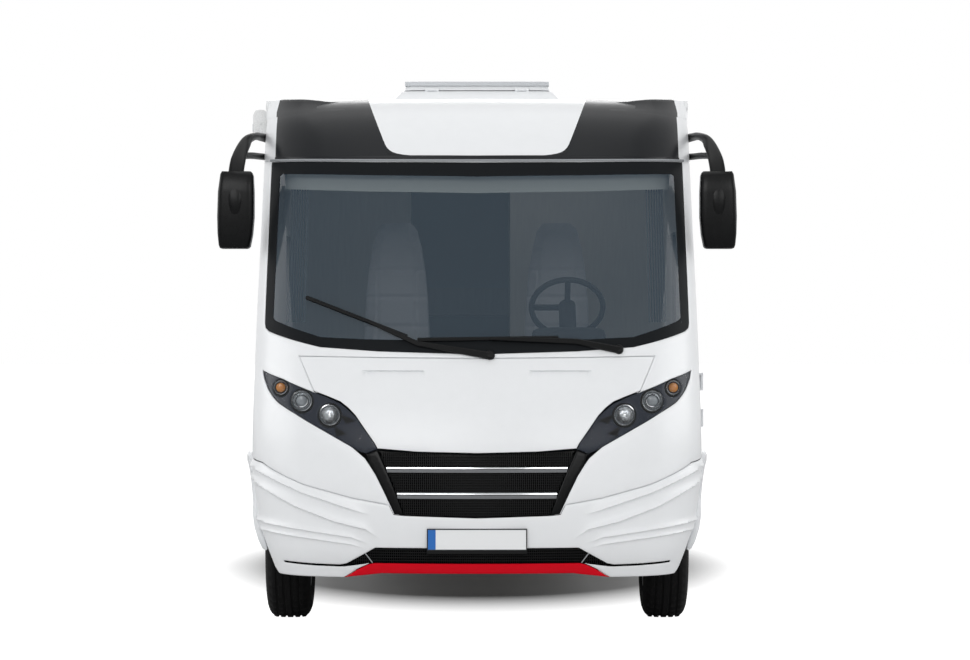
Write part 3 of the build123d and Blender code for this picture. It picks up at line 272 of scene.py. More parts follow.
def edge_distance(points, loops):
    """Distance of each point to the nearest outline."""
    p = np.array(points, float)
    best = np.full(len(p), 1e9)
    for loop in loops:
        a = np.array(loop, float)
        b = np.roll(a, -1, axis=0)
        for s, e in zip(a, b):
            ab = e - s
            t = np.clip((p - s) @ ab / max(ab @ ab, 1e-9), 0, 1)
            best = np.minimum(best, np.hypot(*(p - s - t[:, None] * ab).T))
    return best


def triangulated(outer, holes, spacing, roll, lines=()):
    """Points, triangles and edge distances of a panel with fine rows along its edges and lines."""
    loops = [resample(loop, spacing * 0.6) for loop in (outer, *holes)]
    points, edges = [], []
    for loop in loops:
        start = len(points)
        points += loop
        edges += [(start + i, start + (i + 1) % len(loop)) for i in range(len(loop))]
    low, high = np.min(outer, axis=0), np.max(outer, axis=0)
    extra = []
    for loop in loops:
        a = np.array(loop)
        tangent = np.roll(a, -1, axis=0) - np.roll(a, 1, axis=0)
        tangent /= np.maximum(np.hypot(*tangent.T), 1e-9)[:, None]
        normal = np.stack([-tangent[:, 1], tangent[:, 0]], axis=1)
        for step in (0.35, 1.0):
            for sign in (1, -1):
                ring = a + sign * step * roll * normal
                ok = edge_distance(ring, loops) > 0.9 * step * roll
                extra += [tuple(p) for p in ring[ok]]
    grid = [
        (x, z) for x in np.arange(low[0], high[0], spacing) for z in np.arange(low[1], high[1], spacing)
    ]
    far = edge_distance(grid, loops) > roll + 0.5 * spacing
    extra += [p for p, ok in zip(grid, far) if ok]
    rows = [(u, z + rise) for line in lines for u, z in line for rise in (26, 12, 4, 0, -3, -7, -14)]
    if rows:
        clear = edge_distance(rows, loops) > roll
        extra += [p for p, ok in zip(rows, clear) if ok]
    keep = inside(extra, outer)
    for hole in holes:
        keep &= ~inside(extra, hole)
    points += [p for p, ok in zip(extra, keep) if ok]
    verts, _, faces, *_ = delaunay_2d_cdt([Vector(p) for p in points], edges, [], 0, 1e-4)
    verts = [tuple(v) for v in verts]
    middle = [tuple(np.mean([verts[i] for i in f], axis=0)) for f in faces]
    keep = inside(middle, outer)
    for hole in holes:
        keep &= ~inside(middle, hole)
    faces = [f for f, ok in zip(faces, keep) if ok]
    return verts, faces, edge_distance(verts, loops)


def piece(name, verts, faces, material, body="coach", slot=None, stands_for=(), wall=0.0, split=38):
    """Makes a mesh piece from millimetres and lets it ride on a body."""
    mesh = bpy.data.meshes.new(name)
    mesh.from_pydata([(x / 1000, y / 1000, z / 1000) for x, y, z in verts], [], faces)
    mesh.validate()
    mesh.polygons.foreach_set("use_smooth", [True] * len(mesh.polygons))
    obj = bpy.data.objects.new(name, mesh)
    bpy.context.scene.collection.objects.link(obj)
    mesh.materials.append(material)
    if wall:
        thick = obj.modifiers.new("wall", "SOLIDIFY")
        thick.thickness = wall / 1000
        thick.offset = -1
    if split:
        crisp = obj.modifiers.new("crisp", "EDGE_SPLIT")
        crisp.split_angle = math.radians(split)
    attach(obj, body)
    if stands_for:
        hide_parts(*stands_for)
    return obj


def skin(
        name, outer, material, holes=(), lift=0.0, relief=None, lines=(), spacing=30, roll=9, drop=5, surface=nose,
        **rest):
    """A panel on the nose with rolled edges; relief adds to the lift at u and height."""
    verts, faces, distance = triangulated(outer, holes, spacing, roll, lines)
    out = []
    for (u, z), gap in zip(verts, distance):
        t = 1 - min(gap / roll, 1)
        rise = lift - drop * (1 - math.sqrt(max(1 - t * t, 0)))
        if relief:
            rise += relief(u, z) * min(gap / roll, 1)
        out.append(surface(u, z, rise))
    return piece(name, out, faces, material, **rest)


def lathe(profile, origin, axis, segments=48):
    """Vertices and faces of a turned form; profile holds radius and height along the axis."""
    turn = Vector(axis).to_track_quat("Z", "Y").to_matrix()
    verts, faces = [], []
    n = len(profile)
    for i in range(segments):
        a = 2 * math.pi * i / segments
        for r, h in profile:
            p = Vector(origin) + turn @ Vector((r * math.cos(a), r * math.sin(a), h))
            verts.append(tuple(p))
    for i in range(segments):
        j = (i + 1) % segments
        for k in range(n - 1):
            faces.append((i * n + k, j * n + k, j * n + k + 1, i * n + k + 1))
    return verts, faces


def sweep(path, section, closed=False, caps=True, up=(0, 0, 1)):
    """Vertices and faces of a section (side, up) carried along a path; section may be a list per point."""
    pts = [Vector(p) for p in path]
    m = len(section[0]) if isinstance(section[0][0], (tuple, list)) else len(section)
    verts, faces = [], []
    n = len(pts)
    for i, p in enumerate(pts):
        a = pts[i - 1] if i or closed else pts[0]
        b = pts[(i + 1) % n] if i < n - 1 or closed else pts[-1]
        ahead = (b - a).normalized()
        side = ahead.cross(Vector(up)).normalized()
        top = side.cross(ahead).normalized()
        shape = section[i] if isinstance(section[0][0], (tuple, list)) else section
        verts += [tuple(p + side * s + top * t) for s, t in shape]
    for i in range(n if closed else n - 1):
        j = (i + 1) % n
        for k in range(m):
            l = (k + 1) % m
            faces.append((i * m + k, i * m + l, j * m + l, j * m + k))
    if caps and not closed:
        faces.append(tuple(reversed(range(m))))
        faces.append(tuple(range((n - 1) * m, n * m)))
    return verts, faces


def oval(width, height, n=16, power=2.0):
    """Rounded closed section; a higher power makes it squarer."""
    out = []
    for i in range(n):
        a = 2 * math.pi * i / n
        c, s = math.cos(a), math.sin(a)
        out.append((
            math.copysign(abs(c) ** (2 / power), c) * width / 2, math.copysign(abs(s) ** (2 / power), s) * height / 2))
    return out


def join(*forms):
    """One list of vertices and faces from several."""
    verts, faces = [], []
    for v, f in forms:
        base = len(verts)
        verts += v
        faces += [tuple(i + base for i in face) for face in f]
    return verts, faces


def block(low, high, bevel=0.0):
    """A box with chamfered upright edges as vertices and faces."""
    (x0, y0, z0), (x1, y1, z1) = low, high
    b = bevel
    ring = [(x0 + b, y0), (x1 - b, y0), (x1, y0 + b), (x1, y1 - b), (x1 - b, y1), (x0 + b, y1), (x0, y1 - b), (x0, y0 + b)]
    if not b:
        ring = [(x0, y0), (x1, y0), (x1, y1), (x0, y1)]
    n = len(ring)
    verts = [(x, y, z) for z in (z0, z1) for x, y in ring]
    faces = [(i, (i + 1) % n, n + (i + 1) % n, n + i) for i in range(n)]
    faces += [tuple(reversed(range(n))), tuple(range(n, 2 * n))]
    return verts, faces


def mirrored_form(form):
    verts, faces = form
    return [(-x, y, z) for x, y, z in verts], [tuple(reversed(f)) for f in faces]


def add_node(tree, kind, settings=None, links=None):
    """Adds a node, sets its inputs or options and links its inputs."""
    node = tree.nodes.new(kind)
    for key, value in (settings or {}).items():
        if key in node.inputs:
            node.inputs[key].default_value = value
        else:
            setattr(node, key, value)
    for key, source in (links or {}).items():
        tree.links.new(source, node.inputs[key])
    return node


def material(name, colour, **settings):
    """A named material whose constants sit on its shader's own sockets."""
    mat = bpy.data.materials.get(name)
    if mat:
        return mat, None, None
    mat = bpy.data.materials.new(name)
    mat.use_nodes = True
    tree = mat.node_tree
    shader = tree.nodes["Principled BSDF"]
    shader.inputs["Base Color"].default_value = (*colour, 1)
    for key, value in settings.items():
        shader.inputs[key.replace("_", " ")].default_value = value
    return mat, tree, shader


def surface_grain(tree, shader, size_mm, depth_mm, rough, tint=None, detail=3.0, stretch=(1, 1, 1)):
    """Bump, roughness and a slight tint from one noise whose grain has a real size."""
    place = add_node(tree, "ShaderNodeTexCoord")
    scaled = add_node(tree, "ShaderNodeMapping", {"Scale": stretch}, {"Vector": place.outputs["Object"]})
    noise = add_node(
        tree, "ShaderNodeTexNoise", {"Scale": 1000 / size_mm, "Detail": detail}, {"Vector": scaled.outputs["Vector"]})
    bump = add_node(
        tree, "ShaderNodeBump", {"Strength": 1.0, "Distance": depth_mm / 1000}, {"Height": noise.outputs["Fac"]})
    tree.links.new(bump.outputs["Normal"], shader.inputs["Normal"])
    spread = add_node(
        tree, "ShaderNodeMapRange", {"To Min": rough[0], "To Max": rough[1]}, {"Value": noise.outputs["Fac"]})
    tree.links.new(spread.outputs["Result"], shader.inputs["Roughness"])
    if tint:
        base = shader.inputs["Base Color"].default_value
        ramp = add_node(tree, "ShaderNodeValToRGB", {}, {"Fac": noise.outputs["Fac"]})
        ramp.color_ramp.elements[0].position = 0.3
        ramp.color_ramp.elements[1].position = 0.7
        ramp.color_ramp.elements[0].color = (*(c * tint for c in base[:3]), 1)
        ramp.color_ramp.elements[1].color = base
        tree.links.new(ramp.outputs["Color"], shader.inputs["Base Color"])


def grained(name, colour, size_mm, depth_mm, rough, tint=None, detail=3.0, stretch=(1, 1, 1), **settings):
    """A material whose surface has one grain."""
    mat, tree, shader = material(name, colour, **settings)
    if tree:
        surface_grain(tree, shader, size_mm, depth_mm, rough, tint, detail, stretch)
    return mat


# Gelcoat on glass fibre: sprayed in a polished mould, so glossy with a faint long wave
def gelcoat(name, colour, shine=0.35):
    return grained(name, colour, 60, 0.05, (0.27, 0.35), 0.985, Roughness=0.3, Specular_IOR_Level=shine)


# Coil-coated aluminium sheet: rolled and lacquered, satin with a fine peel
def coated_sheet():
    return grained("coated_aluminium_sheet", look().wall_white, 25, 0.04, (0.30, 0.40), 0.98, Roughness=0.35)


# Moulded ABS with a spark-eroded grain: matt black with a broken highlight
def abs_black():
    return grained("abs_grained", srgb("#0b0c0d"), 3, 0.12, (0.42, 0.6), 0.8, Roughness=0.5, Specular_IOR_Level=0.14)


# Polished black ABS: deep gloss
def piano_black():
    return grained(
        "abs_polished", srgb("#050607"), 40, 0.02, (0.18, 0.24), 0.9,
        Roughness=0.2, Specular_IOR_Level=0.12)


# Lamp body: metallic grey-blue paint under a clear cover
def lamp_paint():
    return grained(
        "lamp_body_paint", srgb("#161c28"), 30, 0.03, (0.2, 0.3), 0.85,
        Roughness=0.25, Specular_IOR_Level=0.1)


# Shadowed gap inside the lamp: matt black that swallows the light
def lamp_black():
    return grained(
        "lamp_gap_black", srgb("#050505"), 10, 0.05, (0.6, 0.8), 0.8,
        Roughness=0.7, Specular_IOR_Level=0.03)


# Chromed plastic: bright mirror with a slight haze
def chrome():
    return grained("chromed_plastic", srgb("#d4d6d8"), 15, 0.01, (0.08, 0.18), Metallic=1.0, Roughness=0.12)


# Anodised aluminium extrusion: satin grey with fine lines along it
def anodised():
    return grained(
        "anodised_aluminium", srgb("#9fa2a5"), 2, 0.02, (0.3, 0.42), 0.9, stretch=(0.05, 1, 1),
        Metallic=0.8, Roughness=0.4)


# Laminated float glass: smooth, tinted, lets the cab show through faintly; its blue-grey veil colour is partly the
# glass's tint and partly a painted reflection of the grey studio
def tinted_glass_painted_reflection():
    mat, tree, shader = material(
        "float_glass_tint_painted_reflection", look().glass_tint_and_painted_reflection, Roughness=0.03, IOR=1.52, Alpha=0.55, Specular_IOR_Level=0.2)
    if tree:
        place = add_node(tree, "ShaderNodeTexCoord")
        wave = add_node(tree, "ShaderNodeTexNoise", {"Scale": 2.0, "Detail": 1.0}, {"Vector": place.outputs["Object"]})
        bump = add_node(tree, "ShaderNodeBump", {"Strength": 0.2, "Distance": 0.001}, {"Height": wave.outputs["Fac"]})
        tree.links.new(bump.outputs["Normal"], shader.inputs["Normal"])
    return mat


# Ceramic frit fired on the glass: dense satin black
def frit():
    return grained(
        "ceramic_frit", srgb("#1d1f21"), 1.5, 0.01, (0.38, 0.48), 0.9,
        Roughness=0.45, Specular_IOR_Level=0.02)


# Clear polycarbonate cover: nearly invisible, with a hard coat that shines
def clear_cover():
    return grained(
        "polycarbonate_clear", srgb("#dfe4e8"), 80, 0.02, (0.03, 0.06),
        Roughness=0.04, IOR=1.58, Alpha=0.03, Specular_IOR_Level=0.12)


# Vapour-coated reflector: bright aluminium with pressed facets
def reflector():
    return grained(
        "reflector_aluminium", srgb("#c9ccce"), 9, 0.5, (0.1, 0.25), 0.7, detail=0.0,
        Metallic=1.0, Roughness=0.15)


# Moulded lens of clear or coloured acrylic with optic ribs
def lens(name, colour, alpha):
    mat, tree, shader = material(name, colour, Roughness=0.08, IOR=1.49, Alpha=alpha, Coat_Weight=0.4)
    if tree:
        place = add_node(tree, "ShaderNodeTexCoord")
        ribs = add_node(
            tree, "ShaderNodeTexWave", {"Scale": 1000 / 6 / 20, "Distortion": 0.0}, {"Vector": place.outputs["Object"]})
        bump = add_node(tree, "ShaderNodeBump", {"Strength": 0.5, "Distance": 0.0008}, {"Height": ribs.outputs["Fac"]})
        tree.links.new(bump.outputs["Normal"], shader.inputs["Normal"])
    return mat


# Cast acrylic window: smoked and glossy
def smoked_acrylic():
    return grained(
        "acrylic_smoked", srgb("#14171a"), 120, 0.15, (0.05, 0.09), 0.9,
        Roughness=0.06, IOR=1.49, Coat_Weight=0.3)


# Vulcanised rubber: dull black with dust in its pores
def rubber():
    return grained(
        "vulcanised_rubber", srgb("#0c0c0d"), 5, 0.2, (0.7, 0.92), 0.72,
        Roughness=0.8, Specular_IOR_Level=0.2)


# Silver-painted pressed steel: satin with a fine flake
def wheel_paint():
    return grained("painted_steel_silver", srgb("#a9acb0"), 2, 0.03, (0.32, 0.48), 0.85, Metallic=0.6, Roughness=0.4)


# Black chassis paint over steel: satin with road dust
def chassis_paint():
    return grained(
        "chassis_paint", srgb("#101112"), 35, 0.15, (0.45, 0.75), 0.7,
        Roughness=0.55, Specular_IOR_Level=0.2)


# Woven upholstery: fine two-way threads, matt and soft
def upholstery():
    mat, tree, shader = material("woven_upholstery", srgb("#b9bcc0"), Roughness=0.9, Sheen_Weight=0.4)
    if tree:
        place = add_node(tree, "ShaderNodeTexCoord")
        # Threads lie 1.5 mm apart, drawn at 6 mm so that they show
        threads = add_node(
            tree, "ShaderNodeTexChecker", {"Scale": 1000 / 6}, {"Vector": place.outputs["Object"]})
        bump = add_node(
            tree, "ShaderNodeBump", {"Strength": 0.6, "Distance": 0.001}, {"Height": threads.outputs["Fac"]})
        tree.links.new(bump.outputs["Normal"], shader.inputs["Normal"])
    return mat


# Foil-covered plywood: a stretched grain under a satin lacquer
def cabinet_wood():
    return grained(
        "plywood_foil", srgb("#e4e2dc"), 12, 0.05, (0.4, 0.55), 0.93, stretch=(1, 1, 0.08),
        Roughness=0.45)


# Slush-moulded dashboard skin: dark grey, matt, leather-like grain
def dash_skin():
    return grained("dashboard_skin", srgb("#34373a"), 4, 0.25, (0.6, 0.8), 0.85, Roughness=0.7)


# Pleated polyester blind: pale grey cloth with even folds
def blind_cloth():
    return grained("polyester_blind", srgb("#c6cecb"), 3, 0.1, (0.75, 0.95), 0.9, Roughness=0.85, Sheen_Weight=0.2)


# Reflective sheeting on the number plate: white with a fine bead
def plate_sheet(name, code):
    return grained(name, srgb(code), 1.5, 0.02, (0.3, 0.4), 0.96, Roughness=0.35)


def plain(name, code, size_mm, depth_mm, rough, **settings):
    """A simple moulded, cast or coated material with one grain."""
    return grained(name, srgb(code), size_mm, depth_mm, rough, 0.8, **settings)


def dress(node, mat):
    """Gives a carried-over solid its material."""
    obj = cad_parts[node]
    obj.data.materials.clear()
    obj.data.materials.append(mat)


class MOTORHOME_OT_stage(bpy.types.Operator):
    """Sets the camera, the lights, the floor and the white background"""

    bl_idname = "motorhome.stage"
    bl_label = "Stage"

    def execute(self, context):
        scene = context.scene
        camera = bpy.data.objects.new("camera", bpy.data.cameras.new("camera"))
        scene.collection.objects.link(camera)
        camera.location = (0, NOSE_Y / 1000 - 16, 1.52)
        camera.rotation_euler = (math.radians(90), 0, 0)
        camera.data.lens = 36 * 3210 / 970
        camera.data.shift_x = 8 / 970
        camera.data.clip_end = 300
        scene.camera = camera
        scene.view_settings.view_transform = "Standard"
        world = bpy.data.worlds.new("studio")
        scene.world = world
        world.use_nodes = True
        tree = world.node_tree
        path = add_node(tree, "ShaderNodeLightPath")
        seen = add_node(
            tree, "ShaderNodeMath", {"operation": "MAXIMUM"}, {0: path.outputs["Is Camera Ray"], 1: path.outputs["Is Glossy Ray"]})
        seen = add_node(
            tree, "ShaderNodeMath", {"operation": "MAXIMUM"}, {0: seen.outputs[0], 1: path.outputs["Is Transmission Ray"]})
        strength = add_node(tree, "ShaderNodeMapRange", {"To Min": 0.34, "To Max": 1.0}, {"Value": seen.outputs[0]})
        sky = tree.nodes["Background"]
        sky.inputs["Color"].default_value = (1, 1, 1, 1)
        tree.links.new(strength.outputs["Result"], sky.inputs["Strength"])
        for name, place, turn, size, power in (
            ("top_softbox", (0, -3.0, 9.0), (0, 0, 0), (8, 10), 215),
            ("front_softbox", (-4, -16, 7), (66, 0, -14), (8, 5), 635),
            ("front_softbox_right", (6, -15, 6), (66, 0, 22), (6, 5), 330),
            ("side_softbox_left", (10, -1.5, 4), (75, 0, 90), (9, 4), 330),
            ("side_softbox_right", (-10, -1.5, 4), (75, 0, -90), (9, 4), 330),
            ("cabin_softbox", (0.35, -1.1, 2.55), (0, 0, 0), (1.2, 1.6), 1.5),
            ("back_softbox", (0, 13, 6), (66, 0, 180), (8, 5), 330),
        ):
            light = bpy.data.lights.new(name, "AREA")
            light.shape = "RECTANGLE"
            light.size, light.size_y = size
            light.energy = power
            lamp = bpy.data.objects.new(name, light)
            lamp.location = place
            lamp.rotation_euler = [math.radians(a) for a in turn]
            scene.collection.objects.link(lamp)
        mesh = bpy.data.meshes.new("floor")
        mesh.from_pydata([(-60, -60, 0), (60, -60, 0), (60, 120, 0), (-60, 120, 0)], [], [(0, 1, 2, 3)])
        floor = bpy.data.objects.new("studio_floor", mesh)
        scene.collection.objects.link(floor)
        # Seamless white vinyl: matt, and self-lit for the camera outside an ellipse under the middle and rear of the
        # vehicle so that it meets the background; this painted light also covers the shadow under the vehicle's front
        mat, tree, shader = material("studio_vinyl", srgb("#d2d2d2"), Roughness=0.9)
        surface_grain(tree, shader, 400, 0.1, (0.85, 0.95))
        shader.inputs["Emission Color"].default_value = (1, 1, 1, 1)
        path = add_node(tree, "ShaderNodeLightPath")
        place = add_node(tree, "ShaderNodeTexCoord")
        # Painted light: the glow ellipse leaves the floor dark only under the middle and rear, and lights it white
        # under the front, over the real shadow
        spot = add_node(
            tree, "ShaderNodeMapping", {"Scale": (1 / 1.8, 1 / 3.6, 0), "Location": (0, -1.5 / 3.6, 0)},
            {"Vector": place.outputs["Object"]})
        away = add_node(tree, "ShaderNodeVectorMath", {"operation": "LENGTH"}, {0: spot.outputs["Vector"]})
        rise = add_node(tree, "ShaderNodeMapRange", {"From Min": 0.74, "From Max": 1.04}, {"Value": away.outputs["Value"]})
        glow = add_node(
            tree, "ShaderNodeMath", {"operation": "MULTIPLY"}, {0: rise.outputs["Result"], 1: path.outputs["Is Camera Ray"]})
        tree.links.new(glow.outputs[0], shader.inputs["Emission Strength"])
        mesh.materials.append(mat)
        return {"FINISHED"}


class MOTORHOME_OT_nose(bpy.types.Operator):
    """Smooth white shell of the nose with its pillars, and the dark cowl under the glass"""

    bl_idname = "motorhome.nose"
    bl_label = "Nose shell"

    def execute(self, context):
        white = gelcoat("gelcoat_white", look().body_white)
        low = [(x, z + 4) for x, z in GAP if x > 400]
        edge = [
            *from_front([(0, 2420)]), *from_side([(1262, 2420), (790, 1400), (786, 875)]),
            *from_front(list(reversed(low))), *from_front([(418, 600), (368, 594), (0, 584)]),
        ]
        holes = [both(from_front(SCREEN)), both(from_front(MIDDLE_HOLE))]
        lamp = from_front(LAMP_HOLE)
        holes += [lamp, [(-u, z) for u, z in reversed(lamp)]]
        skin("nose_shell", both(edge), white, holes, slot="white_gelcoat", stands_for=("front_mask",), wall=6)
        seam = [(0, 1392), (930, 1402), (846, 1222), (812, 1200), (880, 1368), (0, 1362)]
        skin("bonnet_flange", both(from_front(seam)), white, lift=-10, roll=4, drop=1, slot="white_gelcoat")
        lap = [*((x, z + 14) for x, z in GAP if x > 430), *((x, z - 14) for x, z in reversed(GAP) if x > 430)]
        for side, name in ((1, "left"), (-1, "right")):
            loop = from_front(lap)
            loop = loop if side > 0 else [(-u, z) for u, z in reversed(loop)]
            skin(f"bumper_flange_{name}", loop, white, lift=-9, roll=4, drop=1, slot="white_gelcoat")
        cowl = [
            (0, 1398), (503, 1413), (800, 1434), (1000, 1492), (905, 1440), (905, 1393), (500, 1386), (0, 1382),
        ]
        skin("cowl", both(from_front(cowl)), abs_black(), lift=-4, roll=4, drop=2, slot="black_abs", wall=4)
        return {"FINISHED"}


class MOTORHOME_OT_windscreen(bpy.types.Operator):
    """Tinted pane, whose veil colour also holds a painted reflection, with its frit band, the blind above and the
    folded blinds beside it
    """

    bl_idname = "motorhome.windscreen"
    bl_label = "Windscreen"

    def execute(self, context):
        outer = both(from_front([(x - 2 * (x > 0), z) for x, z in SCREEN]))
        clear = both(from_front(SCREEN_CLEAR))
        skin(
            "windscreen_pane", outer, tinted_glass_painted_reflection(), lift=-1, spacing=60, roll=5, drop=2,
            slot="screen_glass", stands_for=("windscreen",))
        skin("windscreen_frit", outer, frit(), [clear], lift=-0.2, spacing=40, roll=4, drop=2, slot="black_abs")
        band = [(0, 2330), (1064, 2350), (1064, 2262), (600, 2240), (0, 2228)]
        skin("roof_blind", both(from_front(band)), blind_cloth(), lift=-60, spacing=50, roll=4, drop=1, slot="seat_fabric")
        forms = []
        for side in (1, -1):
            for k in range(7):
                x = 930 + 17 * k
                u = [from_front([(x + s, z)])[0] for z in (1560, 2300) for s in (0, 10)]
                verts = [nose(side * p, z, lift) for (p, z), lift in zip(u, (-70, -95, -70, -95))]
                forms.append((verts, [(0, 1, 3, 2)]))
        piece("side_blinds", *join(*forms), plain("blind_shade", "#6d787e", 4, 0.1, (0.7, 0.9)), slot="seat_fabric")
        return {"FINISHED"}


def bonnet_relief(u, z):
    """Two shallow recesses under the screen."""
    x = abs(u)
    across = min(max((x - 262) / 14, 0), 1) * min(max((580 - x) / 14, 0), 1)
    down = 1312 - z
    if down < 0:
        return -13 * across * max(1 + down / 4, 0)
    return -13 * across * max(1 - down / 110, 0)


class MOTORHOME_OT_bonnet(bpy.types.Operator):
    """Moulded bonnet skin with two shallow recesses"""

    bl_idname = "motorhome.bonnet"
    bl_label = "Bonnet"

    def execute(self, context):
        white = gelcoat("gelcoat_white", look().body_white)
        lines = [[(side * x, 1312) for x in range(256, 590, 8)] for side in (1, -1)]
        skin(
            "bonnet_skin", both(from_front(BONNET)), white, relief=bonnet_relief, lines=lines, spacing=22,
            roll=6, drop=3, body="bonnet_body", slot="white_gelcoat", stands_for=("bonnet",), wall=6)
        return {"FINISHED"}


# Character lines of the bumper, as x and height from the outer end inwards, with their heights
CREASES = (
    (((1180, 830), (1109, 800), (874, 702), (597, 613), (520, 592)), 16, 20, 6),
    (((1180, 765), (1104, 728), (916, 635), (709, 560), (556, 524), (461, 458)), 16, 20, 6),
    (((1180, 560), (1099, 544), (850, 512), (627, 482), (526, 444)), 13, 14, 5),
    (((1180, 515), (1099, 502), (850, 474), (627, 446), (540, 420)), 10, 10, 5),
)


def bumper_relief(u, z):
    """Ridges that fall away steeply below each character line."""
    x = abs(nose(u, z)[0])
    rise = 0.0
    for line, height, above, below in CREASES:
        t = min((x - line[-1][0]) / 150, 1)
        if t > 0:
            xs, zs = zip(*reversed(line))
            gap = z - float(np.interp(x, xs, zs))
            rise += height * t * t * (3 - 2 * t) * math.exp(-gap / above if gap > 0 else gap / below)
    return rise


class MOTORHOME_OT_bumper(bpy.types.Operator):
    """Bumper skin with its character lines, red lip, intake mesh and bare number plate"""

    bl_idname = "motorhome.bumper"
    bl_label = "Bumper"

    def execute(self, context):
        white = gelcoat("gelcoat_white", look().body_white)
        arch = []
        for i in range(7):
            a = math.radians(116 + 11.5 * i)
            arch.append((WHEELS[0][2] + ARCH_RADIUS * math.cos(a), AXLE_Z + ARCH_RADIUS * math.sin(a)))
        bottom = ((1010, 278), (672, 277), (640, 296), (600, 322), (545, 349), (515, 355), (0, 355))
        edge = [*from_front(GAP), *from_side([(786, 871), *arch]), *from_front(bottom)]
        intake = both(from_front(INTAKE))
        lines = []
        for line, *_ in CREASES:
            run = from_front([p for p in along(line, 9) if p[0] < 1118])
            lines += [run, [(-u, z) for u, z in run]]
        skin(
            "bumper_skin", both(edge), white, [intake], relief=bumper_relief, lines=lines, spacing=16, roll=7, drop=4,
            slot="white_gelcoat", stands_for=("bumper",), wall=6)
        red = gelcoat("gelcoat_red", look().lip_red, 0.1)
        skin(
            "red_lip", both(from_front(LIP)), red, lift=2, spacing=16, roll=8, drop=6, slot="red_trim",
            stands_for=("front_lip",), wall=8)
        dark = abs_black()
        # Painted shade: a gloss black sheet closes the intake behind its mesh, standing in for the dark cavity there
        back = both(from_front([(0, 436), (514, 436), (690, 334), (680, 320), (0, 340)]))
        skin("intake_painted_shade_sheet", back, piano_black(), lift=-28, spacing=40, roll=4, drop=1, slot="black_abs")
        forms = []
        for i in range(-62, 63):
            x = i * 10.5
            top = 431 if abs(x) < 510 else 431 - (abs(x) - 510) * 95 / 162
            low = 352 if abs(x) < 525 else 352 - (abs(x) - 525) * 16 / 147
            blade = [(-1.6, -6), (1.6, -6), (1.6, 4), (-1.6, 4)]
            forms.append(sweep([nose(x, z, -14) for z in (low, top)], blade, up=(0, -1, 0)))
        for z in (366, 380, 394, 408, 421):
            reach = 515 if z > 425 else 668 - (z - 340) * 1.7
            path = [nose(x, z, -15) for x in np.linspace(-reach, reach, 40)]
            forms.append(sweep(path, [(-3, -1.5), (3, -1.5), (3, 1.5), (-3, 1.5)]))
        piece("intake_mesh", *join(*forms), dark, slot="black_abs", stands_for=("grilles",))
        forms = []
        for side in (1, -1):
            path = [nose(side * x, z, -5) for x, z in ((566, 408), (545, 381), (525, 354))]
            forms.append(sweep(path, [(-2.5, -3), (2.5, -3), (2.5, 3), (-2.5, 3)], up=(0, -1, 0)))
        piece("intake_dividers", *join(*forms), anodised(), slot="white_gelcoat")
        # Painted shade: a gloss black sheet closes the lower slit, standing in for the dark cavity behind it
        inner = both(from_front([(0, 350), (690, 338), (985, 348), (985, 322), (690, 318), (0, 330)]))
        skin("slit_painted_shade_sheet", inner, piano_black(), lift=-16, spacing=50, roll=4, drop=1, slot="black_abs")
        self.plate()
        return {"FINISHED"}

    def plate(self):
        """Pressed plate without figures in a dark holder."""
        face_d = section_at(470)[1]
        y = NOSE_Y + face_d + 8
        holder = block((-250, y - 14, 404), (250, y + 22, 529), 4)
        piece("plate_holder", *holder, abs_black(), slot="black_abs")
        rim = sweep(
            [(-245, y - 15, 424), (245, y - 15, 424), (245, y - 15, 525), (-245, y - 15, 525)],
            [(-1.5, -2), (1.5, -2), (1.5, 2), (-1.5, 2)], closed=True, up=(0, -1, 0))
        piece("plate_rim", *rim, plain("pressed_rim", "#3a3c3e", 3, 0.02, (0.3, 0.4)), slot="black_abs")
        sheet = block((-206, y - 16, 425), (245, y - 13, 524), 0)
        piece("plate_sheet", *sheet, plate_sheet("plate_white", "#e9ebec"), slot="white_gelcoat")
        band = block((-245, y - 16.2, 425), (-206, y - 13, 524), 0)
        piece("plate_band", *band, plate_sheet("plate_blue", "#1464b4"), slot="black_abs")


class MOTORHOME_OT_grille(bpy.types.Operator):
    """Fine black lattice behind two bright bars"""

    bl_idname = "motorhome.grille"
    bl_label = "Grille"

    def execute(self, context):
        # Painted shade: a gloss black sheet closes the grille opening behind the lattice, standing in for the dark
        # cavity there
        skin("grille_painted_shade_sheet", both(from_front(GRILLE)), piano_black(), lift=-44, spacing=60, roll=4, drop=1, slot="black_abs")
        forms = []
        for i in range(-48, 49):
            x = i * 10
            low = 585 + abs(x) * 0.03
            if abs(x) > 368:
                low = float(np.interp(abs(x), (368, 407, 443, 499), (595, 702, 790, 912)))
            top = 896 + abs(x) * 0.032
            if top - low > 20:
                path = [nose(x, z, -26) for z in np.linspace(low, top, 6)]
                forms.append(sweep(path, [(-1.8, -7), (1.8, -7), (1.8, 5), (-1.8, 5)], up=(0, -1, 0)))
        for k in range(24):
            z = 596 + 12.6 * k
            reach = float(np.interp(z, (595, 702, 790, 912), (366, 405, 441, 496)))
            path = [nose(x, z, -27) for x in np.linspace(-reach, reach, 30)]
            forms.append(sweep(path, [(-4, -1.2), (4, -1.2), (4, 1.2), (-4, 1.2)]))
        piece("grille_lattice", *join(*forms), abs_black(), slot="black_abs")
        forms, under = [], []
        for z, half, thick in BARS:
            path = [nose(x, z, -4) for x in np.linspace(-half, half, 48)]
            h = thick / 2
            forms.append(sweep(path, [(-18, h * 0.15), (7, h * 0.15), (11, h * 0.35), (10, h * 0.75), (5, h), (-18, h)]))
            under.append(sweep(path, [(-18, -h), (-6, -h), (5, h * 0.12), (-18, h * 0.12)]))
        piece("bright_bars", *join(*forms), chrome(), slot="chrome_trim", stands_for=("grille_bars",))
        # Painted shade: the bars' lower halves take a darker grey copy of the chrome so that they read as shaded from
        # above
        painted_shade_chrome = plain("chrome_painted_shade", "#85878a", 6, 0.02, (0.35, 0.5), Specular_IOR_Level=0.2)
        piece("bar_undersides", *join(*under), painted_shade_chrome, slot="chrome_trim")
        return {"FINISHED"}


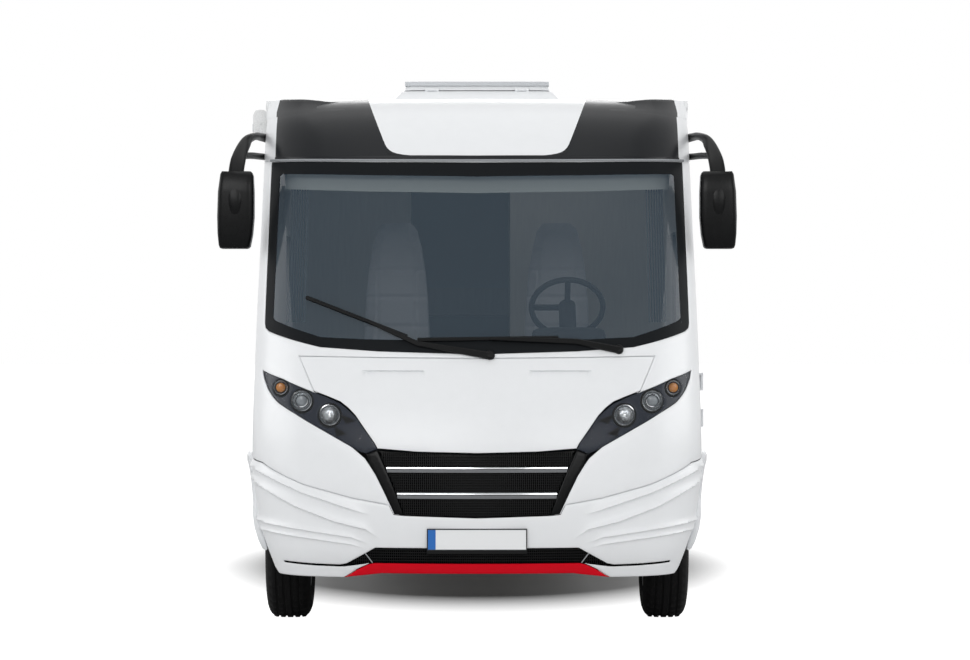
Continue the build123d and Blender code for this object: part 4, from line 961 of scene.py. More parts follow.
class MOTORHOME_OT_headlamps(bpy.types.Operator):
    """Leaf-shaped headlamps with three round units each, and the gloss strips beside the grille"""

    bl_idname = "motorhome.headlamps"
    bl_label = "Headlamps"

    def execute(self, context):
        outline = from_front(LAMP_LEAF)
        circles = []
        for _, x, z, r in LAMPS:
            turns = np.linspace(0, 2 * math.pi, 40, False)
            ring = [(x + (r + 6) * math.cos(a), z + (r + 6) * math.sin(a)) for a in turns]
            circles.append(from_front(ring))
        for side, name in ((1, "left"), (-1, "right")):
            leaf, strip = sided(outline, side), sided(from_front(LAMP_STRIP), side)
            skin(
                f"lamp_body_{name}", leaf, lamp_paint(), [sided(c, side) for c in circles], lift=-8, spacing=16,
                roll=5, drop=4, slot="lamp_dark", stands_for=("headlamp_housings",), wall=3)
            skin(f"lamp_cover_{name}", leaf, clear_cover(), lift=-1, spacing=24, roll=5, drop=4, slot="lamp_clear")
            skin(
                f"gloss_strip_{name}", strip, piano_black(), lift=-3, spacing=14, roll=6, drop=6,
                slot="lamp_dark", wall=10)
            for (kind, x, z, r), circle in zip(LAMPS, circles):
                self.unit(f"{kind}_lamp_{name}", kind, side, x, z, r, sided(circle, side))
        # Painted shade: flat triangles of the shadowed-gap black stand for the shade on the lamp body's inner bevels
        forms = []
        for side in (1, -1):
            for corners in (((694, 1098), (608, 1064), (662, 1048)), ((720, 1036), (656, 998), (708, 984))):
                loop = [nose(u * side, z, -3.5) for u, z in from_front(corners)]
                forms.append((loop, [(0, 1, 2) if side < 0 else (2, 1, 0)]))
        piece("lamp_bevel_painted_shade", *join(*forms), lamp_black(), slot="lamp_dark", split=0)
        return {"FINISHED"}

    def unit(self, name, kind, side, x, z, r, circle):
        """Pocket wall, bezel, reflector bowl, bulb shield and lens of one round lamp."""
        front = [nose(u, h, -8) for u, h in circle]
        y = max(p[1] for p in front) + 4
        n = len(front)
        back = [(px, y + 30, pz) for px, _, pz in front]
        walls = (front + back, [(i, (i + 1) % n, n + (i + 1) % n, n + i) for i in range(n)])
        piece(f"{name}_pocket", *walls, lamp_black(), slot="lamp_dark", split=0)
        at = (side * x, y, z)
        bezel = lathe([(r + 7, 30), (r + 6, 2), (r + 3, 0), (r, 3), (r - 1, 14)], at, (0, 1, 0), 48)
        piece(f"{name}_bezel", *bezel, lamp_black(), slot="lamp_dark")
        rim = lathe([(r - 0.5, 8), (r - 1, 4), (r - 4, 3), (r - 8, 7), (r - 8.5, 14)], at, (0, 1, 0), 48)
        piece(f"{name}_ring", *rim, chrome(), slot="chrome_trim")
        bowl = [(r - 8, 8)]
        for k in range(1, 9):
            t = k / 8
            bowl.append(((r - 8) * (1 - t) + 6 * t, 8 + 28 * (1 - (1 - t) ** 2)))
        # Painted reflection: the bowl's outer ring is a darker chrome, standing in for a darker surround reflected in
        # it, while the inner mirror stays bright
        shade = plain("chrome_painted_dark_reflection", "#4c5258", 5, 0.3, (0.2, 0.4), Metallic=0.7)
        piece(f"{name}_bowl", *lathe(bowl[:2], at, (0, 1, 0), 48), shade, slot="chrome_trim")
        piece(f"{name}_mirror", *lathe(bowl[1:], at, (0, 1, 0), 48), reflector(), slot="chrome_trim")
        if kind == "main":
            core = lathe([(0, 10), (7, 11), (10, 15), (10, 34)], at, (0, 1, 0), 24)
            piece(f"{name}_bulb", *core, chrome(), slot="chrome_trim")
        else:
            size = 0.5 * r if kind == "dipped" else 0.62 * r
            core = [(size, 26), (size, 16)] + [
                (size * math.cos(a), 16 - 0.35 * size * math.sin(a)) for a in np.linspace(0.1, math.pi / 2, 8)]
            tone = srgb("#8d959b") if kind == "dipped" else srgb("#f59a2c")
            piece(f"{name}_core", *lathe(core, at, (0, 1, 0), 32), lens(f"acrylic_{kind}", tone, 0.8), slot="lamp_clear")
            collar = lathe([(size, 20), (size, 13), (size + 3, 11), (size + 6, 14), (size + 7, 24)], at, (0, 1, 0), 40)
            piece(f"{name}_collar", *collar, chrome() if kind == "dipped" else lamp_black(), slot="chrome_trim")
        dome = [(r - 4, 5)] + [((r - 4.5) * math.cos(a), 5 - 7 * math.sin(a)) for a in np.linspace(0.05, math.pi / 2, 8)]
        piece(f"{name}_lens", *lathe(dome, at, (0, 1, 0), 48), clear_cover(), slot="lamp_clear", stands_for=("headlamps",))


class MOTORHOME_OT_roof_cap(bpy.types.Operator):
    """Roof cap with dark panels, aluminium strip above the screen, hatch and rails"""

    bl_idname = "motorhome.roof_cap"
    bl_label = "Roof cap and hatch"

    def execute(self, context):
        white = gelcoat("gelcoat_white", look().body_white)
        dress("front_cap", white)
        grey = gelcoat("gelcoat_anthracite", look().anthracite, 0.16)
        dress("cap_panels", grey)
        dress("hatch_frame", white)
        dress("hatch_lid", white)
        u_end = from_front([(1092, 2398)])[0][0]
        path = [nose(u, 2398 + 20 * (u / u_end) ** 2, 1) for u in np.linspace(-u_end, u_end, 90)]
        strip = sweep(path, [(-4, -6), (3, -6), (5, -3), (5, 3), (3, 6), (-4, 6)])
        piece("trim_strip", *strip, plain("trim_grey", "#8b8f93", 4, 0.02, (0.35, 0.5)), slot="awning_case")
        sill = [(0, 2424), (1068, 2432), (1068, 2420), (540, 2408), (0, 2403)]
        skin("panel_sill", both(from_front(sill)), grey, lift=2, spacing=40, roll=3, drop=1, slot="anthracite_gelcoat", wall=3)
        corner = [
            (494, 2510), (484, 2478), (468, 2438), (400, 2416), (315, 2416), (318, 2424), (350, 2427), (385, 2431), (415, 2437),
            (438, 2445), (455, 2456), (468, 2470), (478, 2487), (487, 2508),
        ]
        for side, name in ((1, "left"), (-1, "right")):
            loop = corner if side > 0 else [(-u, z) for u, z in reversed(corner)]
            skin(f"panel_corner_{name}", loop, grey, lift=2, spacing=12, roll=1, drop=1, surface=cap, slot="anthracite_gelcoat")
        dark = self.brow(700, 1155)
        piece("cap_brow", *join(dark, mirrored_form(dark)), grey, slot="anthracite_gelcoat")
        pale = self.brow(1155, 1615)
        piece("cap_brow_ends", *join(pale, mirrored_form(pale)), white, slot="white_gelcoat")
        rings = []
        for z, half, front, back in (
            (2762, 490, 1804, 2596), (2798, 466, 1824, 2576), (2844, 428, 1860, 2540), (2850, 412, 1874, 2526),
        ):
            rings.append([(x, NOSE_Y + d, z) for x, d in both_rect(-half, half, front, back, 62)])
        n = len(rings[0])
        faces = [(k * n + i, k * n + (i + 1) % n, k * n + n + (i + 1) % n, k * n + n + i) for k in range(3) for i in range(n)]
        piece("hatch_skirt", sum(rings, []), faces, white, slot="white_gelcoat", wall=4)
        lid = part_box("hatch_lid")
        low, high = [c * 1000 for c in lid[0]], [c * 1000 for c in lid[1]]
        y0, y1, z1 = low[1] + 14, high[1] - 14, high[2]
        loop = [(-398, y0, z1 - 14), (398, y0, z1 - 14), (398, y1, z1 - 14), (-398, y1, z1 - 14)]
        rim = sweep(loop, [(-6, -11), (4, -11), (4, 11), (-6, 11)], closed=True)
        piece("hatch_lid_rim", *rim, anodised(), body="hatch_lid_body", slot="awning_case")
        forms = []
        for side in (1, -1):
            for d in (1880, 2480):
                forms.append(lathe([(14, 0), (13, 10), (8, 14), (0, 15)], (side * 470, NOSE_Y + d, 2760), (0, 0, 1), 16))
        piece("hatch_screws", *join(*forms), abs_black(), slot="black_abs")
        return {"FINISHED"}

    def brow(self, start, end):
        """Raised upper edge of the cap from one place on its plan curve to another."""
        verts, faces = [], []
        steps = max(2, round((end - start) / 20))
        for u in np.linspace(start, end, steps + 1):
            t = min(max((u - 700) / 280, 0), 1)
            t = t * t * (3 - 2 * t)
            d = plan_point(u, 1130, 1010)[1] - NOSE_Y
            top = 2738 + t * (2669 + 0.0718 * d - 2738)
            half, setback = 1122 + 8 * t, 1062 + t * (900 + 1.3 * (top - 2690) - 1062)
            verts += [
                cap(u, 2660, 2), cap(u, 2690, 3 + 3 * t), (*plan_point(u, half, setback - 8), top - 18),
                (*plan_point(u, half, setback, -3), top - 5), (*plan_point(u, half, setback, -15), top),
                (*plan_point(u, half, setback, -110), top + 2), (*plan_point(u, half, setback, -200), 2744),
            ]
        for i in range(steps):
            for k in range(6):
                faces.append((7 * i + k, 7 * i + 7 + k, 7 * i + 8 + k, 7 * i + k + 1))
        return verts, faces


class MOTORHOME_OT_mirrors(bpy.types.Operator):
    """Hanging mirrors: moulded heads on curved arms with a lower strut, and their glass"""

    bl_idname = "motorhome.mirrors"
    bl_label = "Mirrors"

    def execute(self, context):
        dark = plain("mirror_shell_abs", "#0a0b0c", 30, 0.03, (0.24, 0.34), Specular_IOR_Level=0.14)
        # Height, inner x, outer x, depth
        rows = (
            (2352, 1186, 1330, 70), (2348, 1178, 1338, 96), (2332, 1172, 1346, 116), (2242, 1168, 1358, 130),
            (2112, 1168, 1362, 130), (2022, 1176, 1360, 124), (1962, 1188, 1354, 112), (1950, 1194, 1348, 96),
            (1946, 1204, 1338, 70),
        )
        y = NOSE_Y + 850
        path, shapes = [], []
        for z, inner, outer, depth in rows:
            path.append(((inner + outer) / 2, y, z))
            shapes.append(oval(outer - inner, depth, 32, 6))
        head = sweep(path, shapes, up=(0, 1, 0))
        arm_path = [
            (1110, y + 560, 2548), (1160, y + 470, 2560), (1190, y + 330, 2556), (1222, y + 180, 2520), (1250, y + 60, 2440),
            (1262, y - 10, 2360), (1266, y - 48, 2250), (1266, y - 52, 2150), (1266, y - 34, 2080),
        ]
        arm_line = smooth_path(arm_path, 6)
        widths = np.interp(np.linspace(0, 1, len(arm_line)), (0, 0.25, 0.55, 0.8, 1), (44, 46, 80, 84, 40))
        arm = sweep(arm_line, [oval(w, 34, 16, 2.6) for w in widths], up=(0, 1, 0.3))
        strut_path = [(1115, y + 470, 2450), (1160, y + 400, 2452), (1200, y + 230, 2448), (1234, y + 100, 2440)]
        strut = sweep(smooth_path(strut_path, 5), oval(34, 36, 12, 2.4), up=(0, 0, 1))
        one = join(head, arm, strut)
        piece("mirror_heads", *join(one, mirrored_form(one)), dark, slot="black_abs", stands_for=("mirrors",))
        glass = []
        for low, high in ((2075, 2312), (1966, 2062)):
            verts = [(x, y + 66, z) for x, z in resample(both_rect(1192, 1340, low, high, 18), 40)]
            glass.append((verts, [tuple(reversed(range(len(verts))))]))
        one = join(*glass)
        silver = plain("mirror_glass", "#cfd4d8", 90, 0.01, (0.02, 0.04), Metallic=1.0)
        piece("mirror_glass", *join(one, mirrored_form(one)), silver, slot="chrome_trim", split=0)
        return {"FINISHED"}


def both_rect(x0, x1, z0, z1, r):
    """Rounded rectangle outline."""
    out = []
    for cx, cz, start in ((x1 - r, z1 - r, 0), (x0 + r, z1 - r, 90), (x0 + r, z0 + r, 180), (x1 - r, z0 + r, 270)):
        for k in range(6):
            a = math.radians(start + 18 * k)
            out.append((cx + r * math.cos(a), cz + r * math.sin(a)))
    return out


def smooth_path(points, steps):
    """Points on a smooth curve through the given ones."""
    p = [Vector(q) for q in points]
    p = [2 * p[0] - p[1], *p, 2 * p[-1] - p[-2]]
    out = []
    for a, b, c, d in zip(p, p[1:], p[2:], p[3:]):
        for k in range(steps):
            t = k / steps
            out.append(0.5 * (2 * b + (c - a) * t + (2 * a - 5 * b + 4 * c - d) * t ** 2 + (3 * b - a - 3 * c + d) * t ** 3))
    return [*out, p[-2]]


class MOTORHOME_OT_wipers(bpy.types.Operator):
    """Two wiper arms with blades resting on the glass"""

    bl_idname = "motorhome.wipers"
    bl_label = "Wipers"

    def execute(self, context):
        forms = []
        # Blade start, blade end, place on the blade, knee, pivot, as x and height
        for start, end, grip, knee, pivot in (
            ((-872, 1687), (-355, 1487), (-560, 1571), (-300, 1452), (66, 1390)),
            ((-300, 1470), (410, 1480), (66, 1478), (500, 1462), (722, 1418)),
        ):
            rubber_line = [nose(u, z, 7) for u, z in from_front(along((start, end), 40))]
            forms.append(sweep(rubber_line, [(-11, -5), (11, -5), (6, 9), (-6, 9)], up=(0, -1, 0)))
            arm = [nose(u, z, 22) for u, z in from_front(along((grip, knee, pivot), 45))]
            sizes = np.linspace(9, 19, len(arm))
            forms.append(sweep(arm, [[(-s, -4), (s, -4), (s * 0.7, 5), (-s * 0.7, 5)] for s in sizes], up=(0, -1, 0)))
            u, z = from_front([pivot])[0]
            base = nose(u, z, -6)
            forms.append(lathe([(24, 0), (24, 22), (18, 32), (0, 34)], base, (0, -1, 0.3), 24))
        piece("wiper_set", *join(*forms), abs_black(), slot="black_abs", stands_for=("wipers",))
        return {"FINISHED"}


# Seat pads: place along the pad, half width, half thickness
BACK_PAD = (
    (1185, 174, 54), (1290, 204, 72), (1500, 202, 72), (1700, 192, 66), (1850, 178, 60), (1990, 154, 52), (2085, 120, 44),
    (2130, 80, 32),
)
BASE_PAD = ((1268, 222, 50), (1318, 236, 68), (1560, 234, 68), (1674, 222, 50))
CHANNELS = (1380, 1540, 1700, 1850)


def stuffed(verts, faces, voxel=10, travel=22):
    """A closed form in millimetres, remeshed and swollen by pressure as cloth, with each point's travel capped."""
    mesh = bpy.data.meshes.new("stuffing")
    mesh.from_pydata([[c / 1000 for c in v] for v in verts], [], faces)
    pad = bpy.data.objects.new("stuffing", mesh)
    scene = bpy.context.scene
    scene.collection.objects.link(pad)
    even = pad.modifiers.new("even", "REMESH")
    even.mode = "VOXEL"
    even.voxel_size = voxel / 1000
    pad.data = bpy.data.meshes.new_from_object(pad.evaluated_get(bpy.context.evaluated_depsgraph_get()))
    pad.modifiers.clear()
    cloth = pad.modifiers.new("cloth", "CLOTH")
    cloth.settings.use_pressure = True
    cloth.settings.uniform_pressure_force = 4
    cloth.settings.effector_weights.gravity = 0
    for step in range(1, 21):
        scene.frame_set(step)
    swollen = pad.evaluated_get(bpy.context.evaluated_depsgraph_get()).to_mesh()
    out = []
    for old, new in zip(pad.data.vertices, swollen.vertices):
        move = (new.co - old.co) * 1000
        if move.length > travel:
            move *= travel / move.length
        out.append(tuple(old.co * 1000 + move))
    polygons = [tuple(f.vertices) for f in pad.data.polygons]
    bpy.data.objects.remove(pad)
    scene.frame_set(1)
    return out, polygons


class MOTORHOME_OT_cab(bpy.types.Operator):
    """Padded seats, dashboard with binnacle, steering wheel and the room behind"""

    bl_idname = "motorhome.cab"
    bl_label = "Cab"

    def execute(self, context):
        cloth = upholstery()
        back = self.pad(BACK_PAD, 1670, True)
        base = self.pad(BASE_PAD, 1218, False)
        for x, name in ((440, "left"), (-440, "right")):
            for part, (verts, faces) in (("back", back), ("base", base)):
                cushion = piece(
                    f"seat_{part}_{name}", [(vx + x, y, z) for vx, y, z in verts], faces, cloth, slot="seat_fabric",
                    stands_for=("cab_seats",), split=0)
                soft = cushion.modifiers.new("soft", "SUBSURF")
                soft.levels = soft.render_levels = 1
        forms = [block((s * 440 - 120, NOSE_Y + 1370, 760), (s * 440 + 120, NOSE_Y + 1610, 1150), 20) for s in (1, -1)]
        piece("seat_pedestals", *join(*forms), chassis_paint(), slot="steel_black", stands_for=("cab_seats",))
        dash = dash_skin()
        dress("dashboard", dash)
        dress("steering_wheel", dash)
        arch = [(480, NOSE_Y + d, z) for d, z in ((640, 1432), (760, 1500), (880, 1496), (905, 1440))]
        binnacle = sweep(smooth_path(arch, 6), oval(380, 60, 20, 3), up=(0, 0, 1))
        piece("dash_binnacle", *binnacle, dash, slot="black_abs")
        dress("furniture", cabinet_wood())
        dress("floor", plain("vinyl_floor", "#6f665c", 40, 0.1, (0.5, 0.7)))
        dress("cab_floor", plain("cab_carpet", "#3b3c3e", 6, 0.6, (0.85, 0.98)))
        return {"FINISHED"}

    def pad(self, rows, level, upright):
        """A seat pad, stuffed and then drawn in along its sewn channels."""
        path = [(0, NOSE_Y + level, at) if upright else (0, NOSE_Y + at, level) for at, *_ in rows]
        shapes = [oval(2 * half, 2 * depth, 24, 3.4) for _, half, depth in rows]
        verts, faces = stuffed(*sweep(path, shapes, up=(0, 1, 0) if upright else (0, 0, 1)))
        out = []
        for x, y, z in verts:
            if upright and y < NOSE_Y + level:
                y += 13 * sum(math.exp(-((z - line) / 9) ** 2) for line in CHANNELS)
                y += 9 * math.exp(-((abs(x) - 105) / 9) ** 2) * (z < CHANNELS[-1])
            elif not upright and z > level:
                z -= 10 * sum(math.exp(-((y - NOSE_Y - line) / 9) ** 2) for line in (1400, 1500))
            out.append((x, y, z))
        return out, faces


class MOTORHOME_OT_wheels(bpy.types.Operator):
    """Van tyres with cut tread, and silver steel rims with nuts and caps"""

    bl_idname = "motorhome.wheels"
    bl_label = "Wheels"

    def execute(self, context):
        deep = look().tread * 1000
        profile = [
            (-97, 206), (-100, 224), (-110, 246), (-116.5, 270), (-117.5, 288), (-114, 312), (-106, 334), (-97, 348), (-88, 356),
        ]
        lanes = [(x, 369.5 - 4 * (abs(x) / 80) ** 3) for x in np.linspace(-80, 80, 41)]
        profile += lanes + [(-x, r) for x, r in reversed(profile)]
        n = len(profile)
        segments = 168
        grooves = (-56, -20, 20, 56)
        for name, side, axle in WHEELS:
            verts, faces = [], []
            for i in range(segments):
                a = 2 * math.pi * i / segments
                for x, r in profile:
                    if r > 350:
                        slot_cut = any(abs(x - g) < 5 for g in grooves)
                        shift = int(x > 0) * 2 + (int(x + 200) // 36) % 2
                        cross = (i + shift) % 4 == 0 and abs(x) > 24
                        r = r - deep * (1.0 if slot_cut else 0.8 if cross else 0)
                    verts.append((side * TRACK_X + x, NOSE_Y + axle + r * math.cos(a), AXLE_Z + r * math.sin(a)))
            for i in range(segments):
                j = (i + 1) % segments
                for k in range(n - 1):
                    faces.append((i * n + k, i * n + k + 1, j * n + k + 1, j * n + k))
            piece(f"tyre_cover_{name}", verts, faces, rubber(), body=f"wheel_{name}", slot="tyre_rubber",
                  stands_for=(f"tyre_{name}",), split=50)
            dress(f"rim_{name}", wheel_paint())
            hub = (side * (TRACK_X + 74.5), NOSE_Y + axle, AXLE_Z)
            forms = [lathe([(48, 0), (46, 14), (36, 22), (0, 24)], hub, (side, 0, 0), 32)]
            for k in range(5):
                a = 2 * math.pi * k / 5
                at = (hub[0], hub[1] + 72 * math.cos(a), hub[2] + 72 * math.sin(a))
                forms.append(lathe([(16, 0), (12, 4), (11, 16), (7, 20), (0, 20)], at, (side, 0, 0), 6))
            piece(f"hub_cap_{name}", *join(*forms), chrome(), body=f"wheel_{name}", slot="chrome_trim", split=30)
        return {"FINISHED"}


def rear_relief(u, z):
    """Shallow plate recess and two upright swages in the rear moulding."""
    def edge(gap, width):
        t = min(max(gap / width, 0), 1)
        return t * t * (3 - 2 * t)
    recess = edge(300 - abs(u), 40) * edge(75 - abs(z - 1000), 16)
    swage = math.exp(-((abs(u) - 560) / 26) ** 2) * edge(z - 1250, 120) * edge(2450 - z, 120)
    return -9 * recess - 7 * swage


class MOTORHOME_OT_body(bpy.types.Operator):
    """Walls, doors, windows, awning, rear end and the parts below"""

    bl_idname = "motorhome.body"
    bl_label = "Body and chassis"

    def execute(self, context):
        white = gelcoat("gelcoat_white", look().body_white)
        wall = coated_sheet()
        dark = abs_black()
        steel = chassis_paint()
        for node in ("cab_side_left", "cab_side_right", "driver_door", "rear_bumper"):
            dress(node, white)
        for node in (
            "side_wall_left", "side_wall_right", "entrance_door", "garage_door_left", "garage_door_right", "roof",
            "rear_wall", "skirts",
        ):
            dress(node, wall)
        # The door glass takes the same veil: partly tint, partly painted reflection
        dress("driver_door_glass", tinted_glass_painted_reflection())
        dress("side_windows", smoked_acrylic())
        dress("arch_flares", white)
        # The front flares run on behind the bumper's edge: x, d, height, width, depth
        rows = ((1142, 566, 640, 30, 50), (1136, 556, 570, 44, 60), (1126, 548, 505, 44, 60), (1107, 541, 440, 40, 56),
                (1092, 538, 402, 30, 40), (1084, 538, 388, 12, 20))
        tail = sweep([(x, NOSE_Y + d, z) for x, d, z, *_ in rows], [oval(w, h, 16, 2.6) for *_, w, h in rows], up=(0, 1, 0))
        piece("flare_tails", *join(tail, mirrored_form(tail)), white, slot="white_gelcoat")
        dress("front_wheel_housings", dark)
        for node in ("chassis_rails", "cross_members", "front_subframe", "rear_axle", "knuckle_left", "knuckle_right"):
            dress(node, steel)
        dress("engine", plain("cast_iron", "#3d3d3d", 8, 0.4, (0.6, 0.8), Metallic=0.6))
        dress("radiator", plain("radiator_fins", "#2b2c2d", 3, 0.5, (0.5, 0.7), Metallic=0.5))
        dress("exhaust", plain("aluminised_steel", "#8d8a85", 12, 0.1, (0.4, 0.6), Metallic=0.9))
        dress("tanks", plain("polyethylene_tank", "#3a3b3c", 20, 0.2, (0.5, 0.65)))
        dress("awning", anodised())
        dress("tail_lamps", lens("acrylic_red", srgb(LAMP_RED), 1.0))
        self.handles(dark)
        self.trims(dark)
        self.flaps()
        self.rear(dark)
        return {"FINISHED"}

    def handles(self, dark):
        """Flush handles and locks on the doors."""
        for name, side, d, z, body in (
            ("driver", 1, 1560, 1180, "driver_door_body"), ("entrance", -1, 2770, 1350, "entrance_door_body"),
            ("garage_left", 1, 6370, 1170, "garage_door_left_body"), ("garage_right", -1, 6370, 1170, "garage_door_right_body"),
        ):
            x = side * (HALF_WIDTH + 1)
            path = [(x, NOSE_Y + d + run, z) for run in (-70, -45, 45, 70)]
            path = [(px + side * 14 * (1 < i + 1 < 4), y, h) for i, (px, y, h) in enumerate(path)]
            bar = sweep(smooth_path(path, 5), oval(12, 30, 12, 2.6))
            lock = lathe([(17, 0), (16, 5), (0, 6)], (x, NOSE_Y + d, z - 60), (side, 0, 0), 20)
            plate = [(x, NOSE_Y + d + u, z + v) for u, v in both_rect(-88, 88, -30, 30, 28)]
            back = (plate, [tuple(range(len(plate))) if side > 0 else tuple(reversed(range(len(plate))))])
            piece(f"{name}_handle", *join(bar, lock, back), dark, body=body, slot="black_abs")

    def trims(self, dark):
        """Window frames, roof edge and sill profiles, and side marker lamps."""
        frames = []
        for side, front, back, low, high in (
            (1, 2250, 3150, 1480, 2080), (1, 5300, 6300, 1930, 2330), (-1, 3000, 3800, 1480, 2080), (-1, 5300, 6300, 1930, 2330),
        ):
            loop = both_rect(front - 6, back + 6, low - 6, high + 6, 70)
            path = [(side * (HALF_WIDTH + 5), NOSE_Y + d, z) for d, z in loop]
            frames.append(sweep(path, [(-8, -5), (8, -5), (6, 6), (-6, 6)], closed=True, up=(side, 0, 0)))
            for d in (front + 120, back - 120):
                inner = (side * (HALF_WIDTH + 2), NOSE_Y + d - 30, high + 8)
                outer = (side * (HALF_WIDTH + 14), NOSE_Y + d + 30, high + 22)
                frames.append(block(*sorted_box(inner, outer), 4))
        piece("window_frames", *join(*frames), dark, slot="black_abs")
        edges, sills, marks = [], [], []
        for side in (1, -1):
            path = [(side * 1112, NOSE_Y + d, 2752) for d in (1655, 1668, 1700, 3500, 5200, 6900, 6914)]
            sizes = ((70, 44), (92, 64), (104, 76), (104, 76), (104, 76), (104, 76), (90, 64))
            edges.append(sweep(path, [oval(w, h, 20, 3.2) for w, h in sizes]))
            path = [(side * (HALF_WIDTH + 1), NOSE_Y + d, 722) for d in (1806, 4300)]
            sills.append(sweep(path, oval(10, 22, 10, 3)))
            path = [(side * (HALF_WIDTH + 1), NOSE_Y + d, 722) for d in (5300, 6600)]
            sills.append(sweep(path, oval(10, 22, 10, 3)))
            for d in (2000, 3100, 4150, 5500, 6400):
                marks.append(sweep([(side * (HALF_WIDTH + h), NOSE_Y + d, 560) for h in (0, 6, 9)],
                                   [oval(70, 26, 20, 3), oval(66, 23, 20, 3), oval(48, 14, 20, 3)], up=(0, 0, 1)))
        piece("roof_edge_profiles", *join(*edges), coated_sheet(), slot="wall_sheet")
        strips = [sweep([(x, NOSE_Y + d, 2760) for x in (-1040, -1020, 1020, 1040)],
                        [oval(20, 3, 10, 3), oval(44, 9, 10, 3), oval(44, 9, 10, 3), oval(20, 3, 10, 3)]) for d in (2900, 4300, 5700)]
        piece("roof_cover_strips", *join(*strips), anodised(), slot="awning_case")
        piece("sill_profiles", *join(*sills), plain("sill_grey", "#7d8185", 5, 0.05, (0.4, 0.55)), slot="awning_case")
        piece("side_markers", *join(*marks), lens("acrylic_amber", srgb(LAMP_AMBER), 1.0), slot="red_lens")

    def flaps(self):
        """Refrigerator vents, filler flaps and the awning's lead rail and end caps."""
        vents = []
        for low in (960, 1640):
            x = HALF_WIDTH
            loop = both_rect(3950, 4390, low, low + 230, 24)
            path = [(x + 3, NOSE_Y + d, z) for d, z in loop]
            vents.append(sweep(path, [(-9, -4), (9, -4), (6, 6), (-6, 6)], closed=True, up=(1, 0, 0)))
            for k in range(9):
                z = low + 26 + 22 * k
                line = [(x + 5, NOSE_Y + 3968, z), (x + 5, NOSE_Y + 4372, z)]
                vents.append(sweep(line, [(-6, -9), (-2, -9), (6, 6), (2, 7)]))
        piece("fridge_vents", *join(*vents), plain("vent_white", "#d3d5d6", 4, 0.03, (0.4, 0.5)), slot="wall_sheet")
        caps = []
        for side, d, z, r in ((1, 1700, 960, 74), (-1, 4150, 980, 80), (1, 3450, 900, 66)):
            at = (side * HALF_WIDTH, NOSE_Y + d, z)
            caps.append(lathe([(r, -2), (r, 5), (r - 5, 9), (r - 20, 11), (r - 22, 8), (0, 8)], at, (side, 0, 0), 40))
            caps.append(lathe([(9, 6), (9, 13), (0, 14)], at, (side, 0, 0), 12))
        piece("filler_flaps", *join(*caps), plain("flap_white", "#c9cccd", 6, 0.04, (0.4, 0.5)), slot="wall_sheet")
        low, high = [[c * 1000 for c in corner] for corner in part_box("awning")]
        x, z = low[0], (low[2] + high[2]) / 2
        rail = sweep([(x - 1, y, z - 26) for y in (low[1] + 12, high[1] - 12)], [(-3, -22), (4, -22), (4, 22), (-3, 22)])
        piece("awning_rail", *rail, anodised(), slot="awning_case")
        ends = []
        for y, way in ((low[1], -1), (high[1], 1)):
            centre = ((low[0] + high[0]) / 2, y, z)
            wide, tall = high[0] - low[0], high[2] - low[2]
            rings = [oval(wide - less, tall - less, 24, power) for less, power in ((0, 3.4), (2, 3.4), (16, 3))]
            ends.append(sweep([(centre[0], y + way * h, z) for h in (0, 8, 12)], rings, up=(0, 0, 1)))
            ends.append(lathe([(12, 10), (12, 16), (6, 18), (0, 18)], centre, (0, way, 0), 16))
        piece("awning_ends", *join(*ends), plain("end_cap_white", "#eceded", 6, 0.05, (0.45, 0.6)), slot="awning_case")

    def rear(self, dark):
        """Lamp surrounds and segments, third brake lamp, corner profiles and reflectors at the back."""
        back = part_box("tail_lamps")[1][1] * 1000
        rims, amber, clear = [], [], []
        for side in (1, -1):
            for mid in (900, 1240):
                loop = both_rect(side * TAIL_LAMP_X - 64, side * TAIL_LAMP_X + 64, mid - 154, mid + 154, 24)
                path = [(x, back - 4, z) for x, z in loop]
                rims.append(sweep(path, [(-6, -10), (6, -10), (5, 8), (-5, 8)], closed=True, up=(0, 1, 0)))
            for parts, mid in ((amber, 1310), (clear, 970)):
                at = (side * TAIL_LAMP_X, back - 2, mid)
                parts.append(lathe([(46, 0), (45, 5), (38, 9), (0, 11)], at, (0, 1, 0), 36))
        piece("tail_lamp_rims", *join(*rims), chrome(), slot="chrome_trim")
        piece("rear_indicators", *join(*amber), lens("acrylic_amber", srgb(LAMP_AMBER), 1.0), slot="red_lens")
        piece("reversing_lamps", *join(*clear), lens("acrylic_white", srgb("#d9dcde"), 1.0), slot="lamp_clear")
        wall_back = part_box("rear_wall")[1][1] * 1000
        bar = sweep([(x, wall_back + 5, 2640) for x in (-210, -190, 190, 210)],
                    [oval(10, 20, 14, 3), oval(18, 34, 14, 3), oval(18, 34, 14, 3), oval(10, 20, 14, 3)])
        piece("third_brake_lamp", *bar, lens("acrylic_red", srgb(LAMP_RED), 1.0), slot="red_lens")
        posts = []
        for side in (1, -1):
            path = [(side * (HALF_WIDTH - 10), wall_back - 6, z) for z in (725, 1500, 2735)]
            posts.append(sweep(path, oval(34, 30, 14, 3), up=(0, 1, 0)))
        piece("rear_corner_profiles", *join(*posts), anodised(), slot="awning_case")

        def behind(u, z, lift):
            return (-u, wall_back + lift, z)

